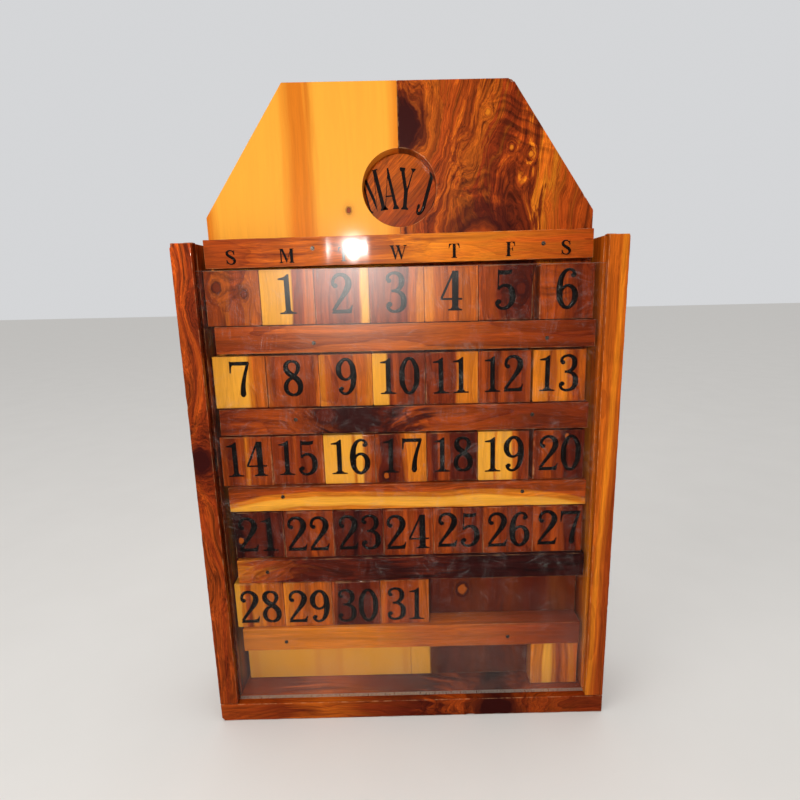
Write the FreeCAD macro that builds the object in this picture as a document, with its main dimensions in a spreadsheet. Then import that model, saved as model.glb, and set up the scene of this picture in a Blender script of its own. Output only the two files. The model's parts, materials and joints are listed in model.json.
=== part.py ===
# Perpetual desk calendar in red cedar: a shallow case with five tile rails, thirty-one loose
# day tiles and two blank ones, a weekday strip, a month wheel behind a round window, and a
# clear front cover that lifts out of grooves in the side boards.
#
# Millimetres. +Z is up and +Y points from the front to the back. The origin is the middle of
# the footprint, on the surface that the case stands on.
import FreeCAD, Part

import os

import Sketcher
from FreeCAD import Placement, Rotation, Vector

doc = FreeCAD.newDocument("tile_calendar")

# ---------------------------------------------------------------- driving dimensions

SIZES = {
    # tiles, which set the width of the case and the spacing of its rails
    "tile_size": 25.4,
    "tile_thickness": 9.5,
    "tile_chamfer": 0.4,
    "tile_spacing": 0.1,
    "tile_seat": 0.05,
    "row_slack": 5.3,
    "row_clearance": 1.15,
    "tray_clearance": 0.2,
    "spare_inset": 1.5,
    # case
    "case_depth": 44.5,
    "side_thickness": 9.7,
    "side_rise": 4.0,
    "base_thickness": 10.2,
    # back panel, two glued boards with sloped shoulders and a round window
    "panel_thickness": 9.5,
    "panel_gap": 1.0,
    "shoulder_rise": 12.7,
    "gable_height": 56.8,
    "gable_width": 103.7,
    "window_drop": 45.5,
    "window_radius": 17.25,
    # grooves in the side boards, and the sheet that runs in them
    "groove_setback": 3.2,
    "groove_depth": 4.5,
    "groove_play": 0.8,
    "cover_thickness": 2.4,
    "cover_slack": 0.5,
    "cover_drop": 0.1,
    # month wheel and its pivot
    "pivot_offset": -2.0,
    "pivot_drop": 47.4,
    "wheel_radius": 70.0,
    "wheel_thickness": 6.35,
    "wheel_gap": 0.4,
    "wheel_chamfer": 0.6,
    "wheel_play": 0.05,
    "washer_radius": 6.0,
    "washer_thickness": 1.0,
    "screw_radius": 1.75,
    "screw_point": 4.0,
    "screw_margin": 1.35,
    "screw_head_radius": 3.4,
    "screw_head_rise": 2.2,
    "screw_slot_width": 0.9,
    "screw_slot_depth": 1.1,
    # rails and weekday strip, cut from one stock that stands proud of the tiles
    "rail_height": 13.2,
    "rail_lip": 2.0,
    "rail_recess": 1.6,
    "rail_slack": 4.4,
    "rail_chamfer": 0.3,
    "strip_clearance": 1.4,
    "strip_shift": -0.75,
    "strip_tilt": 0.5,
    "strip_brad_left": 49.65,
    "strip_brad_right": 23.15,
    "strip_brad_rise": 1.0,
    # brads through the rails and the strip
    "brad_radius": 0.6,
    "brad_margin": 2.0,
    "brad_head_radius": 0.95,
    "brad_head_height": 0.6,
    "brad_point": 1.8,
    # nails through the case
    "nail_radius": 0.8,
    "nail_length": 25.4,
    "nail_head_radius": 1.6,
    "nail_head_height": 0.9,
    "nail_point": 2.4,
    "side_nail_low": 25.0,
    "side_nail_middle": 105.0,
    "side_nail_high": 180.0,
    "base_nail_front": 12.0,
    "base_nail_rear": 10.5,
    "base_nail_inner": 18.0,
    "base_nail_outer": 54.0,
}

# Rails: sideways shift, the brads' distances from the left and right ends and from the top.
RAILS = {
    5: (0.8, 22.9, 38.5, 8.0),
    4: (1.3, 15.4, 20.0, 6.8),
    3: (0.5, 27.2, 32.2, 5.5),
    2: (-0.3, 37.0, 27.4, 5.7),
    1: (1.3, 46.4, 23.0, 8.5),
}

# Rows of tiles: the space before the first tile, and the extra space before the last.
ROWS = {
    1: (0.3, 3.0),
    2: (0.3, 0.9),
    3: (0.3, 1.9),
    4: (3.1, 0.0),
    5: (0.3, 0.0),
}
TILES_PER_ROW = 7
DAYS = 31

for number, (shift, left, right, drop) in RAILS.items():
    SIZES[f"rail{number}_shift"] = shift
    SIZES[f"rail{number}_brad_left"] = left
    SIZES[f"rail{number}_brad_right"] = right
    SIZES[f"rail{number}_brad_drop"] = drop
for number, (inset, space) in ROWS.items():
    SIZES[f"row{number}_inset"] = inset
    SIZES[f"row{number}_space"] = space

sheet = doc.addObject("Spreadsheet::Sheet", "Sizes")
for line, (name, value) in enumerate(SIZES.items(), start=1):
    sheet.set(f"A{line}", name)
    sheet.set(f"B{line}", str(value))
    sheet.setAlias(f"B{line}", name)
doc.recompute()

# Sizes and places that several pieces share, as expressions over the sheet.
TILE_STEP = "(Sizes.tile_size + Sizes.tile_spacing)"
INNER = f"(({TILES_PER_ROW} * {TILE_STEP} + Sizes.row_slack) / 2)"
OUTER = f"({INNER} + Sizes.side_thickness)"
FRONT = "(-Sizes.case_depth / 2)"
GROOVE_FRONT = f"({FRONT} + Sizes.groove_setback)"
GROOVE_BACK = f"({GROOVE_FRONT} + Sizes.cover_thickness + Sizes.groove_play)"
COVER_FRONT = f"({GROOVE_FRONT} + Sizes.groove_play / 2)"
RAIL_FRONT = f"({GROOVE_BACK} + Sizes.rail_recess)"
RAIL_DEPTH = "(Sizes.tile_thickness + Sizes.rail_lip)"
RAIL_LENGTH = f"(2 * {INNER} - Sizes.rail_slack)"
PANEL_FRONT = f"({RAIL_FRONT} + {RAIL_DEPTH})"
PANEL_MIDDLE = f"({PANEL_FRONT} + Sizes.panel_thickness / 2)"
PANEL_BACK = f"({PANEL_FRONT} + Sizes.panel_thickness)"
PANEL_EDGE = f"({INNER} - Sizes.panel_gap)"
WHEEL_FRONT = f"({PANEL_BACK} + Sizes.wheel_gap)"
WHEEL_BACK = f"({WHEEL_FRONT} + Sizes.wheel_thickness)"
WASHER_BACK = f"({WHEEL_BACK} + Sizes.washer_thickness)"

TRAY_TOP = "(Sizes.base_thickness + Sizes.tile_size + Sizes.tray_clearance)"
RAIL_STEP = "(Sizes.rail_height + Sizes.tile_size + Sizes.row_clearance)"
LOWEST_RAIL = max(RAILS)


def rail_top(number):
    """Height of a rail's top as an expression; the rails count down from the highest."""
    return f"({TRAY_TOP} + Sizes.rail_height + {LOWEST_RAIL - number} * {RAIL_STEP})"


STRIP_MIDDLE = f"({rail_top(1)} + Sizes.tile_size + Sizes.strip_clearance + Sizes.rail_height / 2)"
STRIP_LENGTH = f"({TILES_PER_ROW} * Sizes.tile_size)"
SIDE_TOP = f"({STRIP_MIDDLE} + Sizes.side_rise)"
SHOULDER = f"({SIDE_TOP} + Sizes.shoulder_rise)"
PANEL_TOP = f"({SHOULDER} + Sizes.gable_height)"
WINDOW = f"({PANEL_TOP} - Sizes.window_drop)"
PIVOT = f"({WINDOW} - Sizes.pivot_drop)"
COVER_TOP = f"({rail_top(1)} + Sizes.tile_size - Sizes.cover_drop)"

BRAD_LENGTH = f"({RAIL_DEPTH} + Sizes.panel_thickness - Sizes.brad_margin)"
SCREW_LENGTH = f"({WASHER_BACK} - {PANEL_FRONT} - Sizes.screw_margin)"

nodes = []


# ---------------------------------------------------------------- helpers


def keep(piece, label):
    """Names a finished piece; its label is its node and its file."""
    piece.Label = label
    nodes.append(piece)
    return piece


def bind(target, **expressions):
    """Sets expressions on an object; a double underscore in a name stands for a dot."""
    for name, expression in expressions.items():
        target.setExpression(name.replace("__", "."), expression)


def move(piece, along_x="0", along_y="0", along_z="0"):
    """Places a piece at expressions over the sheet, one for each axis."""
    bind(
        piece,
        Placement__Base__x=along_x,
        Placement__Base__y=along_y,
        Placement__Base__z=along_z,
    )
    return piece


def new_sketch(body, role):
    """An empty sketch on one of the body's own origin planes."""
    plane = next(item for item in body.Origin.OriginFeatures if item.Role == role)
    sketch = body.newObject("Sketcher::SketchObject", body.Name + "_sketch")
    sketch.AttachmentSupport = (plane, "")
    sketch.MapMode = "FlatFace"
    return sketch


def hold_point(sketch, line, point, along_x, along_y):
    """Ties one point of a sketch to the origin by two expressions; 0 puts it on the axis."""
    for kind, axis, expression in (("DistanceX", -2, along_x), ("DistanceY", -1, along_y)):
        if expression == "0":
            sketch.addConstraint(Sketcher.Constraint("PointOnObject", line, point, axis))
            continue
        value = sheet.evalExpression(expression)
        value = getattr(value, "Value", value)
        index = sketch.addConstraint(Sketcher.Constraint(kind, -1, 1, line, point, value))
        sketch.setExpression(f"Constraints[{index}]", expression)


def outline(sketch, corners):
    """A closed outline of straight lines through corners given as pairs of expressions."""
    values = []
    for corner in corners:
        pair = [sheet.evalExpression(expression) for expression in corner]
        values.append(Vector(*[getattr(value, "Value", value) for value in pair], 0))
    count = len(corners)
    for index in range(count):
        edge = Part.LineSegment(values[index], values[(index + 1) % count])
        sketch.addGeometry(edge, False)
    for index in range(count):
        following = (index + 1) % count
        sketch.addConstraint(Sketcher.Constraint("Coincident", index, 2, following, 1))
        hold_point(sketch, index, 1, *corners[index])


def pad(body, sketch, length, reverse=False):
    """Extrudes a sketch by an expression."""
    feature = body.newObject("PartDesign::Pad", body.Name + "_pad")
    feature.Profile = sketch
    feature.Reversed = reverse
    feature.setExpression("Length", length)
    sketch.Visibility = False
    doc.recompute()
    return feature


def chamfer_all(body, feature, size):
    """Eases every edge of a feature."""
    edge = body.newObject("PartDesign::Chamfer", body.Name + "_chamfer")
    edge.Base = (feature, [""])
    edge.UseAllEdges = True
    edge.setExpression("Size", size)
    doc.recompute()
    return edge


def block(name, length, width, height, chamfer=None):
    """A rectangular body with its lowest corner at its own origin and its edges eased."""
    body = doc.addObject("PartDesign::Body", name)
    solid = body.newObject("PartDesign::AdditiveBox", name + "_box")
    bind(solid, Length=length, Width=width, Height=height)
    doc.recompute()
    if chamfer:
        chamfer_all(body, solid, chamfer)
    return body


def fastener(name, kind, length):
    """A nail along +Z of its own frame: head at the top, its face at the origin, point below."""
    shank = doc.addObject("Part::Cylinder", name + "_shank")
    bind(
        shank,
        Radius=f"Sizes.{kind}_radius",
        Height=f"{length} - Sizes.{kind}_point",
        Placement__Base__z=f"Sizes.{kind}_point - {length}",
    )
    head = doc.addObject("Part::Cylinder", name + "_head")
    bind(
        head,
        Radius=f"Sizes.{kind}_head_radius",
        Height=f"Sizes.{kind}_head_height",
        Placement__Base__z=f"-Sizes.{kind}_head_height",
    )
    point = doc.addObject("Part::Cone", name + "_point")
    bind(
        point,
        Radius1=f"Sizes.{kind}_radius * 0.1",
        Radius2=f"Sizes.{kind}_radius",
        Height=f"Sizes.{kind}_point",
        Placement__Base__z=f"-{length}",
    )
    whole = doc.addObject("Part::MultiFuse", name)
    whole.Shapes = [shank, head, point]
    return whole


def fastener_group(label, kind, length, turn, places):
    """Identical fasteners in one node, each turned the same way and moved to its place."""
    members = []
    for index, place in enumerate(places):
        member = fastener(f"{label}_{index}", kind, length)
        member.Placement = Placement(Vector(0, 0, 0), turn)
        members.append(move(member, *place))
    group = doc.addObject("Part::Compound", label)
    group.Links = members
    return keep(group, label)


def drilled(board, label, *fasteners):
    """The board with a snug hole for each fastener in the named groups."""
    for index, group in enumerate(fasteners):
        hole = doc.addObject("Part::Cut", f"{label}_drilled_{index}")
        hole.Base = board
        hole.Tool = group
        board = hole
    return keep(board, label)


# ---------------------------------------------------------------- fasteners

DRIVEN_BACK = Rotation(Vector(1, 0, 0), 90)
DRIVEN_UP = Rotation(Vector(1, 0, 0), 180)
DRIVEN_RIGHT = Rotation(Vector(0, 1, 0), -90)
DRIVEN_LEFT = Rotation(Vector(0, 1, 0), 90)


def brad_pair(name, length, height):
    """Places of a bar's two brads, from its length and their distances from its ends."""
    return [
        (f"Sizes.{name}_shift - {length} / 2 + Sizes.{name}_brad_left", RAIL_FRONT, height),
        (f"Sizes.{name}_shift + {length} / 2 - Sizes.{name}_brad_right", RAIL_FRONT, height),
    ]


rail_brad_places = []
for number in RAILS:
    brad_height = f"{rail_top(number)} - Sizes.rail{number}_brad_drop"
    rail_brad_places += brad_pair(f"rail{number}", RAIL_LENGTH, brad_height)
rail_brads = fastener_group("rail_brads", "brad", BRAD_LENGTH, DRIVEN_BACK, rail_brad_places)

strip_brad_places = brad_pair("strip", STRIP_LENGTH, f"{STRIP_MIDDLE} + Sizes.strip_brad_rise")
strip_brads = fastener_group("strip_brads", "brad", BRAD_LENGTH, DRIVEN_BACK, strip_brad_places)

SIDE_NAIL_HEIGHTS = ("Sizes.side_nail_low", "Sizes.side_nail_middle", "Sizes.side_nail_high")
left_side_nails = fastener_group(
    "left_side_nails",
    "nail",
    "Sizes.nail_length",
    DRIVEN_RIGHT,
    [(f"-{OUTER}", PANEL_MIDDLE, height) for height in SIDE_NAIL_HEIGHTS],
)
right_side_nails = fastener_group(
    "right_side_nails",
    "nail",
    "Sizes.nail_length",
    DRIVEN_LEFT,
    [(OUTER, PANEL_MIDDLE, height) for height in SIDE_NAIL_HEIGHTS],
)

# Four base nails run up into the side boards and four into the back panel.
base_nail_places = []
for sign in ("-", ""):
    side_middle = f"{sign}({OUTER} - Sizes.side_thickness / 2)"
    base_nail_places += [
        (side_middle, f"{FRONT} + Sizes.base_nail_front", "0"),
        (side_middle, f"-{FRONT} - Sizes.base_nail_rear", "0"),
        (f"{sign}Sizes.base_nail_inner", PANEL_MIDDLE, "0"),
        (f"{sign}Sizes.base_nail_outer", PANEL_MIDDLE, "0"),
    ]
base_nails = fastener_group(
    "base_nails", "nail", "Sizes.nail_length", DRIVEN_UP, base_nail_places
)

# ---------------------------------------------------------------- case

base = block("base_blank", f"2 * {OUTER}", "Sizes.case_depth", "Sizes.base_thickness")
move(base, f"-{OUTER}", FRONT)
drilled(base, "base_board", base_nails)


def side_board(label, sign, nails):
    """A side board with the cover's groove down its inner face; sign is -1 on the left."""
    body = doc.addObject("PartDesign::Body", label + "_blank")
    sketch = new_sketch(body, "XY_Plane")
    outer = f"{sign} * {OUTER}"
    inner = f"{sign} * {INNER}"
    bottom = f"{sign} * ({INNER} + Sizes.groove_depth)"
    outline(
        sketch,
        [
            (outer, FRONT),
            (inner, FRONT),
            (inner, GROOVE_FRONT),
            (bottom, GROOVE_FRONT),
            (bottom, GROOVE_BACK),
            (inner, GROOVE_BACK),
            (inner, "Sizes.case_depth / 2"),
            (outer, "Sizes.case_depth / 2"),
        ],
    )
    pad(body, sketch, f"{SIDE_TOP} - Sizes.base_thickness")
    move(body, along_z="Sizes.base_thickness")
    return drilled(body, label, nails, base_nails)


side_board("left_side_board", -1, left_side_nails)
side_board("right_side_board", 1, right_side_nails)

# ---------------------------------------------------------------- month wheel and pivot


def revolved(name, corners):
    """A turned piece: a half outline of (radius, height) pairs about +Z."""
    body = doc.addObject("PartDesign::Body", name)
    sketch = new_sketch(body, "XZ_Plane")
    outline(sketch, corners)
    feature = body.newObject("PartDesign::Revolution", name + "_turned")
    feature.Profile = sketch
    feature.ReferenceAxis = (sketch, ["V_Axis"])
    feature.Angle = 360
    sketch.Visibility = False
    doc.recompute()
    return body


TURNED_TO_BACK = Rotation(Vector(1, 0, 0), -90)

WHEEL_BORE = "Sizes.screw_radius + Sizes.wheel_play"
wheel = revolved(
    "month_wheel",
    [
        (WHEEL_BORE, "0"),
        ("Sizes.wheel_radius - Sizes.wheel_chamfer", "0"),
        ("Sizes.wheel_radius", "Sizes.wheel_chamfer"),
        ("Sizes.wheel_radius", "Sizes.wheel_thickness - Sizes.wheel_chamfer"),
        ("Sizes.wheel_radius - Sizes.wheel_chamfer", "Sizes.wheel_thickness"),
        (WHEEL_BORE, "Sizes.wheel_thickness"),
    ],
)
wheel.Placement = Placement(Vector(0, 0, 0), TURNED_TO_BACK)
keep(move(wheel, "Sizes.pivot_offset", WHEEL_FRONT, PIVOT), "month_wheel")

washer = revolved(
    "wheel_washer",
    [
        ("Sizes.screw_radius", "0"),
        ("Sizes.washer_radius", "0"),
        ("Sizes.washer_radius", "Sizes.washer_thickness"),
        ("Sizes.screw_radius", "Sizes.washer_thickness"),
    ],
)
washer.Placement = Placement(Vector(0, 0, 0), TURNED_TO_BACK)
keep(move(washer, "Sizes.pivot_offset", WHEEL_BACK, PIVOT), "wheel_washer")

# The screw stands head up, with the underside of its head at its own origin.
screw_body = doc.addObject("PartDesign::Body", "wheel_screw_blank")
screw_sketch = new_sketch(screw_body, "XZ_Plane")
HEAD_EDGE = "Sizes.screw_head_rise * 0.35"
outline(
    screw_sketch,
    [
        ("0", f"-{SCREW_LENGTH}"),
        ("Sizes.screw_radius", f"Sizes.screw_point - {SCREW_LENGTH}"),
        ("Sizes.screw_radius", "0"),
        ("Sizes.screw_head_radius", "0"),
        ("Sizes.screw_head_radius", HEAD_EDGE),
        ("Sizes.screw_head_radius * 0.8", "Sizes.screw_head_rise * 0.78"),
        ("Sizes.screw_head_radius * 0.45", "Sizes.screw_head_rise"),
        ("0", "Sizes.screw_head_rise"),
    ],
)
screw_turned = screw_body.newObject("PartDesign::Revolution", "wheel_screw_turned")
screw_turned.Profile = screw_sketch
screw_turned.ReferenceAxis = (screw_sketch, ["V_Axis"])
screw_turned.Angle = 360
doc.recompute()
screw_slot = doc.addObject("Part::Box", "wheel_screw_slot")
bind(
    screw_slot,
    Length="2.2 * Sizes.screw_head_radius",
    Width="Sizes.screw_slot_width",
    Height="2 * Sizes.screw_slot_depth",
    Placement__Base__x="-1.1 * Sizes.screw_head_radius",
    Placement__Base__y="-Sizes.screw_slot_width / 2",
    Placement__Base__z="Sizes.screw_head_rise - Sizes.screw_slot_depth",
)
wheel_screw = doc.addObject("Part::Cut", "wheel_screw")
wheel_screw.Base = screw_body
wheel_screw.Tool = screw_slot
wheel_screw.Placement = Placement(Vector(0, 0, 0), TURNED_TO_BACK)
keep(move(wheel_screw, "Sizes.pivot_offset", WASHER_BACK, PIVOT), "wheel_screw")

# ---------------------------------------------------------------- back panel


def panel_board(label, sign, *fasteners):
    """One half of the back panel, from the glue line outwards; sign is -1 on the left."""
    body = doc.addObject("PartDesign::Body", label + "_blank")
    sketch = new_sketch(body, "XZ_Plane")
    edge = f"{sign} * {PANEL_EDGE}"
    outline(
        sketch,
        [
            ("0", "Sizes.base_thickness"),
            (edge, "Sizes.base_thickness"),
            (edge, SHOULDER),
            (f"{sign} * Sizes.gable_width / 2", PANEL_TOP),
            ("0", PANEL_TOP),
        ],
    )
    pad(body, sketch, "Sizes.panel_thickness", reverse=True)
    bore = doc.addObject("Part::Cylinder", label + "_window")
    bore.Placement = Placement(Vector(0, 0, 0), DRIVEN_BACK)
    bind(bore, Radius="Sizes.window_radius", Height="3 * Sizes.panel_thickness")
    move(bore, "0", "2 * Sizes.panel_thickness", WINDOW)
    bored = doc.addObject("Part::Cut", label + "_bored")
    bored.Base = body
    bored.Tool = bore
    move(bored, along_y=PANEL_FRONT)
    return drilled(bored, label, *fasteners)


PANEL_FASTENERS = (rail_brads, strip_brads, base_nails)
panel_board("back_panel_left", -1, left_side_nails, wheel_screw, *PANEL_FASTENERS)
panel_board("back_panel_right", 1, right_side_nails, *PANEL_FASTENERS)

# ---------------------------------------------------------------- rails and weekday strip

for number in RAILS:
    rail = block(
        f"rail_{number}_blank",
        RAIL_LENGTH,
        RAIL_DEPTH,
        "Sizes.rail_height",
        "Sizes.rail_chamfer",
    )
    move(
        rail,
        f"Sizes.rail{number}_shift - {RAIL_LENGTH} / 2",
        RAIL_FRONT,
        f"{rail_top(number)} - Sizes.rail_height",
    )
    drilled(rail, f"rail_{number}", rail_brads)

# The strip is turned about its middle, so its blank is centred on its own origin.
strip_box = block(
    "strip_blank", STRIP_LENGTH, RAIL_DEPTH, "Sizes.rail_height", "Sizes.rail_chamfer"
)
move(strip_box, f"-{STRIP_LENGTH} / 2", "0", "-Sizes.rail_height / 2")
strip_centred = doc.addObject("Part::Compound", "strip_centred")
strip_centred.Links = [strip_box]
RIGHT_END_UP = Rotation(Vector(0, -1, 0), SIZES["strip_tilt"])
strip_centred.Placement = Placement(Vector(0, 0, 0), RIGHT_END_UP)
strip_centred.setExpression("Placement.Rotation.Angle", "Sizes.strip_tilt")
move(strip_centred, "Sizes.strip_shift", RAIL_FRONT, STRIP_MIDDLE)
drilled(strip_centred, "weekday_strip", strip_brads)

# ---------------------------------------------------------------- cover

COVER_WIDTH = f"(2 * ({INNER} + Sizes.groove_depth - Sizes.cover_slack))"
cover = block(
    "front_cover",
    COVER_WIDTH,
    "Sizes.cover_thickness",
    f"{COVER_TOP} - Sizes.base_thickness",
    "0.1 * Sizes.cover_thickness",
)
keep(move(cover, f"-{COVER_WIDTH} / 2", COVER_FRONT, "Sizes.base_thickness"), "front_cover")

# ---------------------------------------------------------------- tiles


def tile(label, left, seat):
    """A loose tile: its left side, and the height of what it stands on."""
    body = block(
        label, "Sizes.tile_size", "Sizes.tile_thickness", "Sizes.tile_size", "Sizes.tile_chamfer"
    )
    front = f"{PANEL_FRONT} - Sizes.tile_thickness - Sizes.tile_seat"
    return keep(move(body, left, front, f"{seat} + Sizes.tile_seat"), label)


def place_in_row(row, column):
    """Left side of a tile in a row, with the row's extra space before its last tile."""
    left = f"-{INNER} + Sizes.row{row}_inset + {column} * {TILE_STEP}"
    if column == TILES_PER_ROW - 1:
        left += f" + Sizes.row{row}_space"
    return left


# The first place holds a blank, so that day 1 falls on the second weekday.
tile("blank_tile_1", place_in_row(1, 0), rail_top(1))
for day in range(1, DAYS + 1):
    row, column = divmod(day, TILES_PER_ROW)
    tile(f"tile_{day:02d}", place_in_row(row + 1, column), rail_top(row + 1))
tile("blank_tile_2", f"{INNER} - Sizes.spare_inset - Sizes.tile_size", "Sizes.base_thickness")

# ---------------------------------------------------------------- checks and files

doc.recompute()

for item in doc.Objects:
    if {"Invalid", "Error"} & set(item.State):
        raise RuntimeError(f"{item.Label} failed: {item.State}")
for node in nodes:
    if node.Shape.isNull() or not node.Shape.isValid() or not node.Shape.Solids:
        raise RuntimeError(f"{node.Label} has no valid solid")

os.makedirs("parts", exist_ok=True)
for node in nodes:
    node.Shape.exportStep(os.path.join("parts", node.Label + ".step"))
    box = node.Shape.BoundBox
    print(
        f"{node.Label}: {len(node.Shape.Solids)} solids, {node.Shape.Volume:.0f} mm3,"
        f" x {box.XMin:.2f} {box.XMax:.2f}, y {box.YMin:.2f} {box.YMax:.2f},"
        f" z {box.ZMin:.2f} {box.ZMax:.2f}"
    )
print(len(nodes), "nodes")
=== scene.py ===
import json
import math
import random

import bpy
from mathutils import Matrix, Vector


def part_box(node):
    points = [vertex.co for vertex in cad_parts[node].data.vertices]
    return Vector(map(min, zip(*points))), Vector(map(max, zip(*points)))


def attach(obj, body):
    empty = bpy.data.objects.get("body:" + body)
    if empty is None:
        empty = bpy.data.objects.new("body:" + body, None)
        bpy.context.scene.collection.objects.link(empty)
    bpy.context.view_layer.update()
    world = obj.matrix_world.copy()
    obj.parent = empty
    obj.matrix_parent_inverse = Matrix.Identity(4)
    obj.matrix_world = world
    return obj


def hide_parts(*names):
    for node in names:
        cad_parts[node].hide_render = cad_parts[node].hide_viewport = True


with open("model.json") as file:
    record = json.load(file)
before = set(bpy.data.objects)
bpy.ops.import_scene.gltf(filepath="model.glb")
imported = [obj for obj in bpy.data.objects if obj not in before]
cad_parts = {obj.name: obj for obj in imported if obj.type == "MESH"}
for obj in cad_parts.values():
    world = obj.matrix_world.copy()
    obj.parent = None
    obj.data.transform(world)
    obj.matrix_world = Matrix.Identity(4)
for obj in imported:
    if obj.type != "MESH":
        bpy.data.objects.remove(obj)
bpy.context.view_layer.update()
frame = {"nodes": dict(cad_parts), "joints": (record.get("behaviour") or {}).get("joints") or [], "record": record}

# A perpetual calendar in glossy red cedar: grooved case, gabled back panel with a month wheel
# behind its window, five rails of loose day tiles and a clear cover. Metres throughout; the
# modelling helpers take millimetres where a name ends in _mm.
MM = 0.001
DAYS = 31
DAYS_A_ROW = 7
TILE_NAMES = ["blank_tile_1"] + [f"tile_{day:02d}" for day in range(1, DAYS + 1)] + ["blank_tile_2"]
INK_LIFT = 0.1 * MM

body_of_node = {
    node: body for body, members in frame["record"]["behaviour"]["bodies"].items() for node in members
}


# ---------------------------------------------------------------- working by hand


def deselect():
    bpy.ops.object.select_all(action="DESELECT")


def pick(piece):
    """Makes one piece the only selected and the active one."""
    deselect()
    piece.select_set(True)
    bpy.context.view_layer.objects.active = piece


def edit(piece, everything=False):
    """Opens a piece for editing with nothing selected, or with all of it."""
    pick(piece)
    bpy.ops.object.mode_set(mode="EDIT")
    bpy.ops.mesh.select_all(action="SELECT" if everything else "DESELECT")


def leave():
    bpy.ops.object.mode_set(mode="OBJECT")


def settle():
    """Puts the active object's place, turn and scale into its mesh."""
    bpy.ops.object.transform_apply(location=True, rotation=True, scale=True)
    return bpy.context.object


def choose(piece, kind, wanted):
    """In edit mode, selects the faces or edges of which wanted(item, mesh) is true."""
    bpy.ops.mesh.select_mode(type="FACE" if kind == "faces" else "EDGE")
    bpy.ops.mesh.select_all(action="DESELECT")
    leave()
    mesh = piece.data
    for item in mesh.polygons if kind == "faces" else mesh.edges:
        item.select = wanted(item, mesh)
    bpy.ops.object.mode_set(mode="EDIT")


def runs_along(axis):
    """A test for edges that run along one axis."""

    def wanted(edge, mesh):
        ends = [mesh.vertices[index].co for index in edge.vertices]
        run = ends[1] - ends[0]
        return abs(run[axis]) > 0.99 * run.length

    return wanted


def new_block(name, low, high):
    """A box between two corners, in metres, with its place in its mesh."""
    deselect()
    low, high = Vector(low), Vector(high)
    bpy.ops.mesh.primitive_cube_add(size=1, location=(low + high) / 2, scale=high - low)
    piece = bpy.context.object
    piece.name = piece.data.name = name
    return settle()


def new_disc(radius, thick, middle, vertices):
    """A cylinder that lies along Y."""
    deselect()
    bpy.ops.mesh.primitive_cylinder_add(
        vertices=vertices, radius=radius, depth=thick, location=middle, rotation=(math.pi / 2, 0, 0)
    )
    return settle()


def cut_away(piece, point, normal):
    """Saws off what lies beyond a plane, on the side that its normal points to."""
    edit(piece, everything=True)
    bpy.ops.mesh.bisect(plane_co=point, plane_no=normal, use_fill=True, clear_outer=True)
    leave()


def ring_cuts(piece, axis, step_mm=3.0):
    """Divides the long edges of a bar so that wear can vary along it."""
    edit(piece)
    choose(piece, "edges", runs_along(axis))
    span = piece.dimensions[axis]
    bpy.ops.mesh.subdivide(number_cuts=max(1, round(span / (step_mm * MM))))
    leave()


def apply_modifiers(piece):
    pick(piece)
    for modifier in list(piece.modifiers):
        bpy.ops.object.modifier_apply(modifier=modifier.name)


def combine_with(piece, operation, other, **settings):
    """Cuts another solid out of a piece, or joins it on, and removes the other solid."""
    modifier = piece.modifiers.new("combined", "BOOLEAN")
    modifier.operation = operation
    modifier.solver = "EXACT"
    modifier.object = other
    for key, value in settings.items():
        setattr(modifier, key, value)
    apply_modifiers(piece)
    bpy.data.objects.remove(other)


def open_arris(piece):
    """Gives a piece two empty materials, the second of which its worn edge faces take; the finish lightens those
    faces, partly as wear and partly as a painted highlight.
    """
    for _ in range(2):
        piece.data.materials.append(None)


def mark_arris(piece):
    """Marks the faces of the second material, the rounded edges, with the value 1 for the finish to wear and to
    lighten as a painted highlight, and takes that material off again."""
    arris = piece.data.attributes.new("arris", "FLOAT", "FACE")
    for face in piece.data.polygons:
        arris.data[face.index].value = float(face.material_index == 1)
        face.material_index = 0
    piece.data.materials.clear()


def ease_edges(piece, width_mm, segments=3):
    """Rounds every sharp edge and keeps the rounded faces in a group named edges."""
    open_arris(piece)
    edit(piece)
    bpy.ops.mesh.select_mode(type="EDGE")
    bpy.ops.mesh.edges_select_sharp(sharpness=math.radians(30))
    bpy.ops.mesh.bevel(offset=width_mm * MM, segments=segments, profile=0.5, affect="EDGES", material=1)
    leave()
    rounded = [face for face in piece.data.polygons if face.material_index == 1]
    group = piece.vertex_groups.new(name="edges")
    group.add([index for face in rounded for index in face.vertices], 1.0, "REPLACE")
    mark_arris(piece)


def hollow_wear(piece, depth_mm, grain_mm, group=""):
    """Sinks the surface by a cloudy amount, never outwards; with a group, only its vertices."""
    texture = bpy.data.textures.new(f"{piece.name}_wear_{grain_mm}", "CLOUDS")
    texture.noise_scale = grain_mm * MM
    texture.noise_depth = 2
    modifier = piece.modifiers.new("wear", "DISPLACE")
    modifier.texture = texture
    modifier.texture_coords = "LOCAL"
    modifier.mid_level = 1.0
    modifier.strength = depth_mm * MM
    modifier.vertex_group = group
    apply_modifiers(piece)


def wear(piece, faces_mm, edges_mm=0.35):
    """Broad hollows over a whole bar and small ones along its edges."""
    hollow_wear(piece, faces_mm, 9.0)
    hollow_wear(piece, edges_mm, 2.5, "edges")


def chip(piece, centre, radius_mm, squash=(1, 1, 1)):
    """Takes a small splintered bite out of an edge."""
    deselect()
    bpy.ops.mesh.primitive_ico_sphere_add(
        subdivisions=2, radius=radius_mm * MM, location=centre, scale=squash
    )
    bite = settle()
    open_arris(bite)
    for face in bite.data.polygons:
        face.material_index = 1
    mark_arris(bite)
    combine_with(piece, "DIFFERENCE", bite)


def smooth(piece, angle=35):
    """Smooths the eased edges and keeps the broad faces truly flat in their shine."""
    pick(piece)
    bpy.ops.object.shade_smooth_by_angle(angle=math.radians(angle))
    modifier = piece.modifiers.new("flat_faces", "WEIGHTED_NORMAL")
    modifier.keep_sharp = True
    modifier.weight = 100
    apply_modifiers(piece)


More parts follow.
